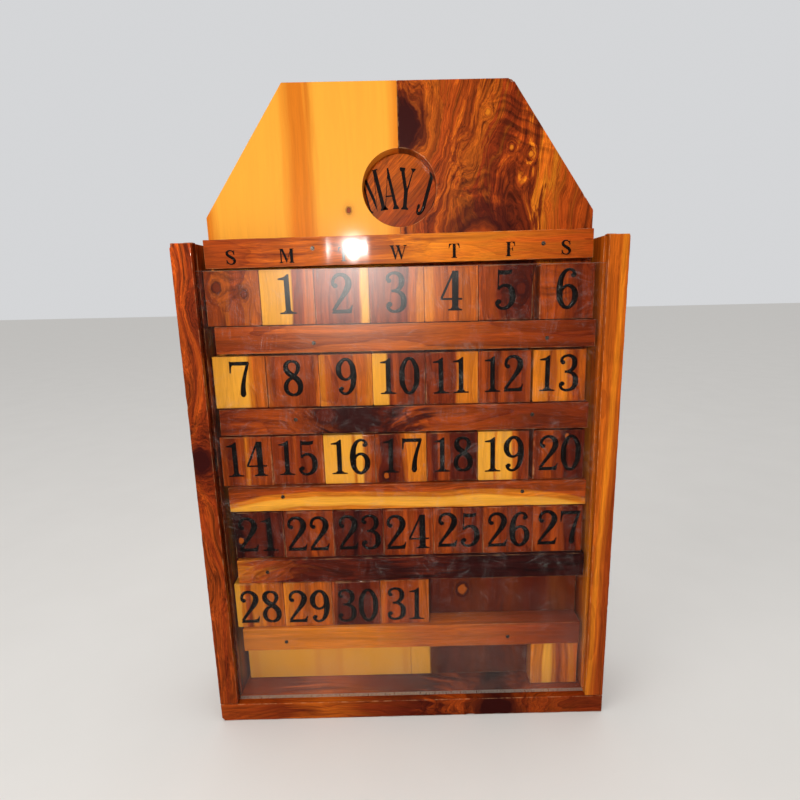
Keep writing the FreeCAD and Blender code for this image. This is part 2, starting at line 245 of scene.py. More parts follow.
def finish_wood(piece, material, node):
    """Gives a wooden piece its finish and puts it in the place of its CAD node."""
    smooth(piece)
    piece.data.materials.clear()
    piece.data.materials.append(material)
    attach(piece, body_of_node[node])
    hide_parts(node)


# ---------------------------------------------------------------- shader building


class Shader:
    """A material under construction: short calls that add a node and return its output."""

    def __init__(self, name):
        self.material = bpy.data.materials.new(name)
        self.material.use_nodes = True
        self.tree = self.material.node_tree
        self.surface = self.tree.nodes["Principled BSDF"]
        self.output = self.tree.nodes["Material Output"]

    def node(self, kind, inputs, **settings):
        made = self.tree.nodes.new(kind)
        for key, value in settings.items():
            setattr(made, key, value)
        for key, value in inputs.items():
            self.feed(made, key, value)
        return made

    def feed(self, made, key, value):
        if isinstance(value, bpy.types.NodeSocket):
            self.tree.links.new(value, made.inputs[key])
        else:
            made.inputs[key].default_value = value

    def math(self, operation, *values, clamp=False):
        inputs = dict(enumerate(values))
        return self.node("ShaderNodeMath", inputs, operation=operation, use_clamp=clamp).outputs[0]

    def times(self, first, second):
        return self.math("MULTIPLY", first, second)

    def over(self, first, second):
        return self.math("DIVIDE", first, second)

    def plus(self, first, second):
        return self.math("ADD", first, second)

    def minus(self, first, second, clamp=False):
        return self.math("SUBTRACT", first, second, clamp=clamp)

    def vector(self, operation, first, second):
        key = "Scale" if operation == "SCALE" else 1
        made = self.node("ShaderNodeVectorMath", {0: first, key: second}, operation=operation)
        return made.outputs["Value" if operation == "LENGTH" else "Vector"]

    def scale(self, vector, amount):
        return self.vector("SCALE", vector, amount)

    def stretch(self, vector, amounts):
        return self.vector("MULTIPLY", vector, amounts)

    def shift(self, vector, step):
        return self.vector("ADD", vector, step)

    def since(self, vector, start):
        return self.vector("SUBTRACT", vector, start)

    def reach(self, vector):
        return self.vector("LENGTH", vector, (0, 0, 0))

    def noise(self, vector, scale=1.0, detail=2.0, roughness=0.5, output="Fac"):
        inputs = {"Vector": vector, "Scale": scale, "Detail": detail, "Roughness": roughness}
        return self.node("ShaderNodeTexNoise", inputs).outputs[output]

    def span(self, value, low, high, to_low=0.0, to_high=1.0, smooth_step=False):
        """Maps a range onto another, clamped at both ends."""
        inputs = {0: value, 1: low, 2: high, 3: to_low, 4: to_high}
        kind = "SMOOTHSTEP" if smooth_step else "LINEAR"
        return self.node("ShaderNodeMapRange", inputs, interpolation_type=kind).outputs[0]

    def mix(self, factor, first, second, blend="MIX"):
        made = self.node("ShaderNodeMix", {0: factor, 6: first, 7: second}, data_type="RGBA")
        made.blend_type = blend
        return made.outputs[2]

    def tint(self, colour, filter_colour):
        return self.mix(1.0, colour, filter_colour, "MULTIPLY")

    def blend(self, factor, first, second):
        """Mixes two vectors."""
        made = self.node("ShaderNodeMix", {0: factor, 4: first, 5: second}, data_type="VECTOR")
        return made.outputs[1]

    def ramp(self, factor, stops):
        """A colour ramp through (position, colour) stops."""
        made = self.node("ShaderNodeValToRGB", {"Fac": factor})
        elements = made.color_ramp.elements
        elements.remove(elements[1])
        elements[0].position, elements[0].color = stops[0]
        for position, colour in stops[1:]:
            elements.new(position).color = colour
        return made.outputs["Color"]

    def separate(self, vector):
        return self.node("ShaderNodeSeparateXYZ", {0: vector}).outputs[:3]

    def combine(self, *values):
        return self.node("ShaderNodeCombineXYZ", dict(enumerate(values))).outputs[0]

    def bump(self, height, strength, distance_mm):
        inputs = {"Height": height, "Strength": strength, "Distance": distance_mm * MM}
        return self.node("ShaderNodeBump", inputs).outputs[0]

    def place_mm(self, centre=(0, 0, 0)):
        """The point on the piece in millimetres, counted from a centre given in metres."""
        point = self.tree.nodes.new("ShaderNodeTexCoord").outputs["Object"]
        return self.scale(self.since(point, tuple(centre)), 1000.0)

    def set(self, **values):
        for key, value in values.items():
            self.feed(self.surface, key.replace("_", " "), value)
        return self.material


# ---------------------------------------------------------------- cedar

TONES = {
    "straw": (0.86, 0.37, 0.035, 1),
    "amber": (0.68, 0.185, 0.008, 1),
    "orange": (0.50, 0.100, 0.005, 1),
    "russet": (0.34, 0.050, 0.003, 1),
    "red": (0.22, 0.026, 0.002, 1),
    "maroon": (0.11, 0.010, 0.002, 1),
    "dark": (0.035, 0.003, 0.002, 1),
}
LATEWOOD = (0.42, 0.25, 0.22, 1)
SCORCH = (0.36, 0.20, 0.18, 1)
# Lighter unlacquered-wood colour for the eased edges: partly wear, partly a painted highlight of the kind edges
# catch.
EDGE_WEAR_AND_HIGHLIGHT_TONE = (0.70, 0.36, 0.16, 1)
MID_GREY = (0.5, 0.5, 0.5)
# Knots of these tones are plain spots, with no scorch round them.
PALE_KNOTS = ("straw", "amber")


def tone_stops(bands, softness):
    """Ramp stops for bands written as tones with the place where the next one starts between
    them, such as "straw 0.3 red 0.8 orange"; each blends into the next."""
    words = bands.split()
    tones, starts = words[::2], [float(word) for word in words[1::2]]
    stops = []
    for before, start, after in zip(tones, starts, tones[1:]):
        stops.append((start - softness, TONES[before]))
        stops.append((start + softness, TONES[after]))
    return stops


class Cedar(Shader):
    """Lacquered red cedar, solid through the piece. Bands of sapwood and heartwood run along
    the grain, or follow one another down its length; growth rings circle a pith line off to one
    side and wrap round the knots. Distances are millimetres from the piece's centre."""

    grain = "up"  # or "side", or a turn about Y in radians
    along_bands = False  # bands that follow one another down the length
    knots = ()  # (across, along, radius, tone)
    curls = ()  # (across, along, radius) of ripples across the grain
    contrast = 1.0  # of streaks and fibres
    lean = 0.0  # how far the bands lean off the grain
    softness = 0.02  # of the step from one band to the next
    ragged = 0.10  # how far streaks carry that step
    swirl = 1.0  # how far slow waves carry the grain
    spacing = 2.4  # of the growth rings
    line = 0.65  # how dark their latewood is
    ends = (1.0, 1.0)  # how light the heartwood is at its low and its high end
    foot = None  # a tone that the heartwood calms down to towards its low end
    bow = 0.0  # how far the bands bend at both ends
    seed = 0

    def __init__(self, name, low, high, bands, **look):
        super().__init__("cedar_" + name)
        for key, value in look.items():
            setattr(self, key, value)
        self.draw = random.Random(self.seed)
        self.lay_out(Vector(low), Vector(high))
        self.wrap_knots()
        self.sway()
        self.grow_rings()
        self.split_fibres()
        colour = self.ramp(self.band_place(), tone_stops(bands, self.softness))
        colour = self.shade_grain(self.calm_down(colour))
        for knot in self.knot_fields:
            colour = self.stain_knot(colour, *knot)
        self.lacquer(colour)

    def lay_out(self, low, high):
        """Finds the directions across and along the grain and the piece's extent in both."""
        self.size = (high - low) / MM
        x, self.y, z = self.separate(self.place_mm((low + high) / 2))
        sideways = self.grain == "side"
        self.across, self.along = (z, x) if sideways else (x, z)
        self.width, self.length = (self.size.z, self.size.x) if sideways else (self.size.x, self.size.z)
        if isinstance(self.grain, float):
            inputs = {"Vector": self.combine(x, self.y, z), "Angle": self.grain}
            turned = self.node("ShaderNodeVectorRotate", inputs, rotation_type="Y_AXIS").outputs[0]
            self.across, _, self.along = self.separate(turned)
        self.flat = self.combine(self.across, self.y, self.along)

    def wrap_knots(self):
        """Lets each knot lift the lines round it like a lens."""
        self.lines = self.flat
        self.knot_fields = []
        for across, along, radius, tone in self.knots:
            spot = (across, 0.0, along)
            away = self.stretch(self.since(self.flat, spot), (1, 0, 0.8))
            rough = self.noise(self.scale(self.flat, 1.2 / radius), detail=3.0)
            uneven = self.times(self.minus(rough, 0.5), radius * 0.9)
            reach = self.plus(self.reach(away), uneven)
            spread = self.math("POWER", self.over(reach, radius * 2.4), 2.0)
            fall = self.math("EXPONENT", self.times(spread, -1.0))
            away_across, _, away_along = self.separate(away)
            turn = self.times(self.math("ARCTAN2", away_across, away_along), radius)
            around = self.shift(self.combine(reach, 0.0, turn), spot)
            self.lines = self.blend(fall, self.lines, around)
            self.knot_fields.append((reach, fall, radius, tone))

    def sway(self):
        """Carries the grain along slow waves."""
        slow = self.stretch(self.flat, (0.045, 0.045, 0.014))
        slow = self.shift(slow, tuple(self.draw.uniform(0, 50) for _ in range(3)))
        wave = self.since(self.noise(slow, output="Color"), MID_GREY)
        self.lines = self.shift(self.lines, self.scale(wave, 9.0 * self.swirl))

    def grow_rings(self):
        """Growth rings round a pith line outside the piece."""
        self.grain_across, deep, down = self.separate(self.lines)
        pith_across = self.draw.uniform(-0.6, 0.6) * self.width
        pith_depth = self.draw.choice((-1, 1)) * self.draw.uniform(14, 45)
        tilt = self.draw.uniform(-0.06, 0.06)
        side = self.minus(self.minus(self.grain_across, pith_across), self.times(down, tilt))
        depth = self.minus(deep, pith_depth)
        out = self.math("SQRT", self.plus(self.times(side, side), self.times(depth, depth)))
        uneven = self.noise(self.combine(self.times(out, 0.22), float(self.seed), 0.0), detail=1.0)
        phase = self.plus(self.over(out, self.spacing), self.times(uneven, 3.0))
        self.late = self.math("POWER", self.math("FRACT", phase), 3.5)

    def split_fibres(self):
        """Streaks and fibres along the grain."""
        self.stray = tuple(self.draw.uniform(0, 90) for _ in range(3))
        fine = self.shift(self.stretch(self.lines, (2.6, 2.6, 0.07)), self.stray)
        self.fibre = self.noise(fine, detail=3.0, roughness=0.65)
        broad = self.shift(self.stretch(self.lines, (0.42, 0.42, 0.012)), self.stray)
        self.streak = self.noise(broad, detail=3.0, roughness=0.6)

    def rise(self, at_foot, above):
        """A value that changes round the middle of the length."""
        return self.span(self.along, -self.length * 0.2, self.length * 0.2, at_foot, above)

    def band_place(self):
        """Where a point lies among the bands of sapwood and heartwood, from 0 to 1."""
        if self.along_bands:
            leaning = self.plus(self.along, self.times(self.across, self.lean))
            place = self.plus(self.over(leaning, self.length), 0.5)
        else:
            from_front = self.times(self.plus(self.y, self.size.y / 2), 0.35)
            leaning = self.plus(self.grain_across, self.times(self.along, self.lean))
            leaning = self.plus(leaning, from_front)
            to_end = self.math("ABSOLUTE", self.over(self.along, self.length / 2))
            bent = self.times(self.math("POWER", to_end, 4.0), self.bow * self.width)
            place = self.plus(self.over(self.plus(leaning, bent), self.width), 0.5)
        stray = self.times(self.minus(self.streak, 0.5), self.ragged)
        return self.plus(place, self.times(stray, self.rise(0.15 if self.foot else 1.0, 1.0)))

    def calm_down(self, colour):
        """Sapwood, known by its green, is calmer than heartwood; a foot calms both."""
        green = self.separate(colour)[1]
        self.calm = self.span(green, 0.08, 0.33, 1.0, 0.3)
        self.heartwood = self.span(green, 0.12, 0.30, 1.0, 0.0)
        if self.foot:
            below = self.rise(1.0, 0.0)
            sunk = self.times(below, self.span(green, 0.2, 0.33, 1.0, 0.0))
            colour = self.mix(self.times(sunk, 0.85), colour, TONES[self.foot])
            self.calm = self.times(self.calm, self.span(below, 0.0, 1.0, 1.0, 0.4))
        return colour

    def shade_grain(self, colour):
        """Lays rings, streaks, fibres and ripples over the bands."""
        ring = self.times(self.times(self.late, self.line), self.calm)
        colour = self.mix(ring, colour, self.tint(colour, LATEWOOD))
        streak = self.span(self.streak, 0.3, 0.7, 1 - 0.40 * self.contrast, 1 + 0.32 * self.contrast)
        fibre = self.span(self.fibre, 0.32, 0.68, 1 - 0.36 * self.contrast, 1 + 0.24 * self.contrast)
        light = self.minus(self.times(streak, fibre), 1.0)
        light = self.math("MULTIPLY_ADD", light, self.calm, 1.0)
        light = self.times(light, self.end_light())
        for across, along, radius in self.curls:
            gone = self.reach(self.since(self.flat, (across, 0.0, along)))
            here = self.span(gone, radius * 0.4, radius, 1.0, 0.0)
            crossing = self.shift(self.stretch(self.lines, (0.05, 0.05, 0.42)), self.stray)
            ripple = self.span(self.noise(crossing), 0.38, 0.62, -0.45, 0.35)
            light = self.times(light, self.math("MULTIPLY_ADD", ripple, here, 1.0))
        return self.tint(colour, self.combine(light, light, light))

    def end_light(self):
        """The heartwood's change of light towards both ends."""
        low, high = self.length * 0.3, self.length / 2
        foot = self.span(self.along, -high, -low, self.ends[0] - 1, 0.0)
        head = self.span(self.along, low, high, 0.0, self.ends[1] - 1)
        return self.math("MULTIPLY_ADD", self.plus(foot, head), self.heartwood, 1.0)

    def stain_knot(self, colour, reach, fall, radius, tone):
        """Colours a knot: a plain spot if it is pale, or a ringed heart in a scorched halo."""
        if tone in PALE_KNOTS:
            inside = self.span(reach, radius * 0.5, radius * 1.3, 0.9, 0.0, smooth_step=True)
            return self.mix(inside, colour, TONES[tone])
        arcs = self.combine(self.times(reach, 2.6 / radius), 0.0, float(self.seed))
        halo = self.times(fall, self.span(self.noise(arcs), 0.40, 0.60, 0.15, 1.0))
        colour = self.mix(halo, colour, self.tint(colour, SCORCH))
        growth = self.math("FRACT", self.over(reach, max(0.5, radius * 0.22)))
        heart = self.mix(self.times(growth, 0.45), TONES[tone], TONES["dark"])
        inside = self.span(reach, radius * 0.8, radius * 1.1, 1.0, 0.0, smooth_step=True)
        colour = self.mix(inside, colour, heart)
        outer_rim = self.span(reach, radius * 1.05, radius * 1.8)
        rim = self.minus(self.span(reach, radius * 0.7, radius), outer_rim, clamp=True)
        return self.mix(self.times(rim, 0.75), colour, TONES["dark"])

    def lacquer(self, colour):
        """A glossy coat over the grain, worn through along the eased edges to lighter unlacquered wood; that
        lighter colour is also a painted highlight along the edges.
        """
        arris = self.node("ShaderNodeAttribute", {}, attribute_name="arris").outputs["Fac"]
        wear_and_highlight_patches = self.noise(self.scale(self.flat, 0.22), detail=4.0, roughness=0.65)
        edge_wear_and_highlight = self.times(arris, self.span(wear_and_highlight_patches, 0.44, 0.62))
        # Painted highlight: the eased edges are lightened in patches, partly as worn-through lacquer and partly as
        # the shine that edges catch.
        worn_and_highlit_tone = self.mix(0.45, colour, EDGE_WEAR_AND_HIGHLIGHT_TONE)
        colour = self.mix(self.times(edge_wear_and_highlight, 0.75), colour, worn_and_highlit_tone)
        height = self.plus(self.times(self.fibre, 0.6), self.times(self.late, 0.5))
        roughness = self.plus(self.span(self.fibre, 0.3, 0.7, 0.36, 0.52), self.times(edge_wear_and_highlight, 0.2))
        self.set(Base_Color=colour, Roughness=roughness, Normal=self.bump(height, 0.35, 0.08))
        self.set(Coat_Weight=0.35, Coat_Roughness=0.08, Coat_IOR=1.38, Specular_IOR_Level=0.08)


# ---------------------------------------------------------------- other finishes


def ink_finish():
    """Black stamping ink, thin and a little starved in places."""
    shader = Shader("ink")
    place = shader.place_mm()
    starved = shader.noise(shader.scale(place, 1.6), detail=4.0, roughness=0.7)
    thin = shader.span(starved, 0.58, 0.78)
    colour = shader.mix(thin, (0.004, 0.002, 0.0015, 1), (0.045, 0.012, 0.005, 1))
    grain = shader.noise(shader.stretch(place, (6, 6, 0.6)))
    roughness = shader.span(starved, 0.3, 0.7, 0.45, 0.7)
    shader.set(Base_Color=colour, Roughness=roughness, Normal=shader.bump(grain, 0.2, 0.04))
    return shader.set(Specular_IOR_Level=0.08, Coat_Weight=0.12, Coat_Roughness=0.12)


def steel_finish():
    """Steel gone dark brown under the lacquer, with a few brighter specks."""
    shader = Shader("steel")
    specks = shader.noise(shader.scale(shader.place_mm(), 2.2), detail=3.0)
    colour = shader.mix(shader.span(specks, 0.40, 0.58), (0.16, 0.13, 0.10, 1), (0.035, 0.018, 0.010, 1))
    roughness = shader.span(specks, 0.3, 0.7, 0.35, 0.6)
    return shader.set(Base_Color=colour, Roughness=roughness, Metallic=0.8)


# Each set of scratches: the turn of its direction, how much the lines are drawn out, its place.
SCRATCH_SETS = ((0.5, 0.03, 3), (-0.9, 0.05, 11), (1.4, 0.04, 23), (-0.3, 0.06, 37))


def scratches(shader, place):
    """Fine straight scratches that cross one another, in patches."""
    every = None
    for angle, drawn_out, away in SCRATCH_SETS:
        inputs = {"Vector": place, "Rotation": (0, angle, 0), "Location": (away, 0, away)}
        turned = shader.node("ShaderNodeMapping", inputs).outputs[0]
        lines = shader.noise(shader.stretch(turned, (drawn_out, 1, 0.8)), detail=1.0)
        off_line = shader.math("ABSOLUTE", shader.minus(lines, 0.5))
        thin = shader.span(off_line, 0.004, 0.022, 1.0, 0.0)
        patches = shader.noise(shader.scale(turned, 0.09))
        thin = shader.times(thin, shader.span(patches, 0.55, 0.66))
        every = thin if every is None else shader.math("MAXIMUM", every, thin)
    return every


def cover_finish(low, high):
    """Clear acrylic sheet, seen through but for its reflections, fine scratches, a soft glow
    round whatever it mirrors and a trace of dust that thickens towards the foot."""
    shader = Shader("clear_sheet")
    place = shader.place_mm(low)
    tall = (high[2] - low[2]) / MM
    scratch = scratches(shader, place)
    cloud = shader.noise(shader.scale(place, 0.035), detail=3.0)
    settled = shader.span(shader.separate(place)[2], 0.0, tall * 0.3, 0.030, 0.001)
    dust = shader.times(settled, shader.span(cloud, 0.3, 0.7, 0.4, 1.5))
    veil = shader.math("MAXIMUM", dust, shader.times(scratch, 0.06))
    clear = shader.node("ShaderNodeBsdfTransparent", {"Color": (0.975, 0.98, 0.97, 1)}).outputs[0]
    haze = shader.node("ShaderNodeBsdfDiffuse", {"Color": (0.8, 0.78, 0.74, 1)}).outputs[0]
    whole = shader.node("ShaderNodeMixShader", {0: veil, 1: clear, 2: haze}).outputs[0]

    # only the side towards the eye mirrors: sharply, and once more as a faint glow
    inner = shader.tree.nodes.new("ShaderNodeNewGeometry").outputs["Backfacing"]
    outer = shader.minus(1.0, inner)
    fresnel = shader.node("ShaderNodeFresnel", {"IOR": 1.22}).outputs[0]
    ripple = shader.noise(shader.scale(place, 0.03))
    waves = shader.bump(shader.plus(ripple, shader.times(scratch, 0.02)), 0.15, 0.3)
    mirror = shader.node("ShaderNodeBsdfGlossy", {"Roughness": 0.05, "Normal": waves}).outputs[0]
    glow = shader.node("ShaderNodeBsdfGlossy", {"Roughness": 0.30}, distribution="BECKMANN").outputs[0]
    mirroring = shader.times(shader.times(fresnel, outer), 0.25)
    glowing = shader.times(outer, 0.036)
    for amount, layer in ((mirroring, mirror), (glowing, glow)):
        whole = shader.node("ShaderNodeMixShader", {0: amount, 1: whole, 2: layer}).outputs[0]
    shader.feed(shader.output, "Surface", whole)
    shader.tree.nodes.remove(shader.surface)
    return shader.material


def cut_edge_finish():
    """The sheet's sawn edge, frosted so that it gathers the light."""
    shader = Shader("cut_edge")
    saw = shader.noise(shader.stretch(shader.place_mm(), (1.5, 0.2, 1.5)), detail=3.0, roughness=0.7)
    colour = shader.mix(saw, (0.20, 0.15, 0.11, 1), (0.80, 0.74, 0.64, 1))
    roughness = shader.span(saw, 0.3, 0.7, 0.25, 0.5)
    shader.set(Base_Color=colour, Roughness=roughness, Normal=shader.bump(saw, 0.6, 0.3))
    return shader.set(Transmission_Weight=0.25, Alpha=0.5)


INK = ink_finish()
STEEL = steel_finish()


# ---------------------------------------------------------------- lettering
# Glyphs stand on a cap height of 1 with their left side at x = 0. A pen line runs through
# (x, y, width) points and a loop closes on itself, a cut is a straight-sided patch, and a ball
# is (x, y, radius). BOLD is what the stamping adds to the width of every stroke.
BOLD = 0.034


def pen(*points):
    return ("pen", points)


def loop(*points):
    return ("loop", points)


def cut(*points):
    return ("cut", points)


def ball(x, y, radius):
    return ("ball", (x, y, radius))


def serif(middle, half, stem=0.06, base=0.0, up=1):
    """A thin bracketed serif across a stem; up = -1 hangs it from the top."""
    stem += BOLD / 2
    thin, bracket, tall = base + 0.036 * up, base + 0.05 * up, base + 0.09 * up
    return cut(
        (middle - half, base), (middle + half, base), (middle + half, thin),
        (middle + stem + 0.03, bracket), (middle + stem, tall), (middle - stem, tall),
        (middle - stem - 0.03, bracket), (middle - half, thin),
    )


def head(middle, half, stem=0.06):
    return serif(middle, half, stem, 1.0, -1)


def stem(left, right, low=0.0, high=1.0):
    left, right = left - BOLD / 2, right + BOLD / 2
    return cut((left, low), (right, low), (right, high), (left, high))


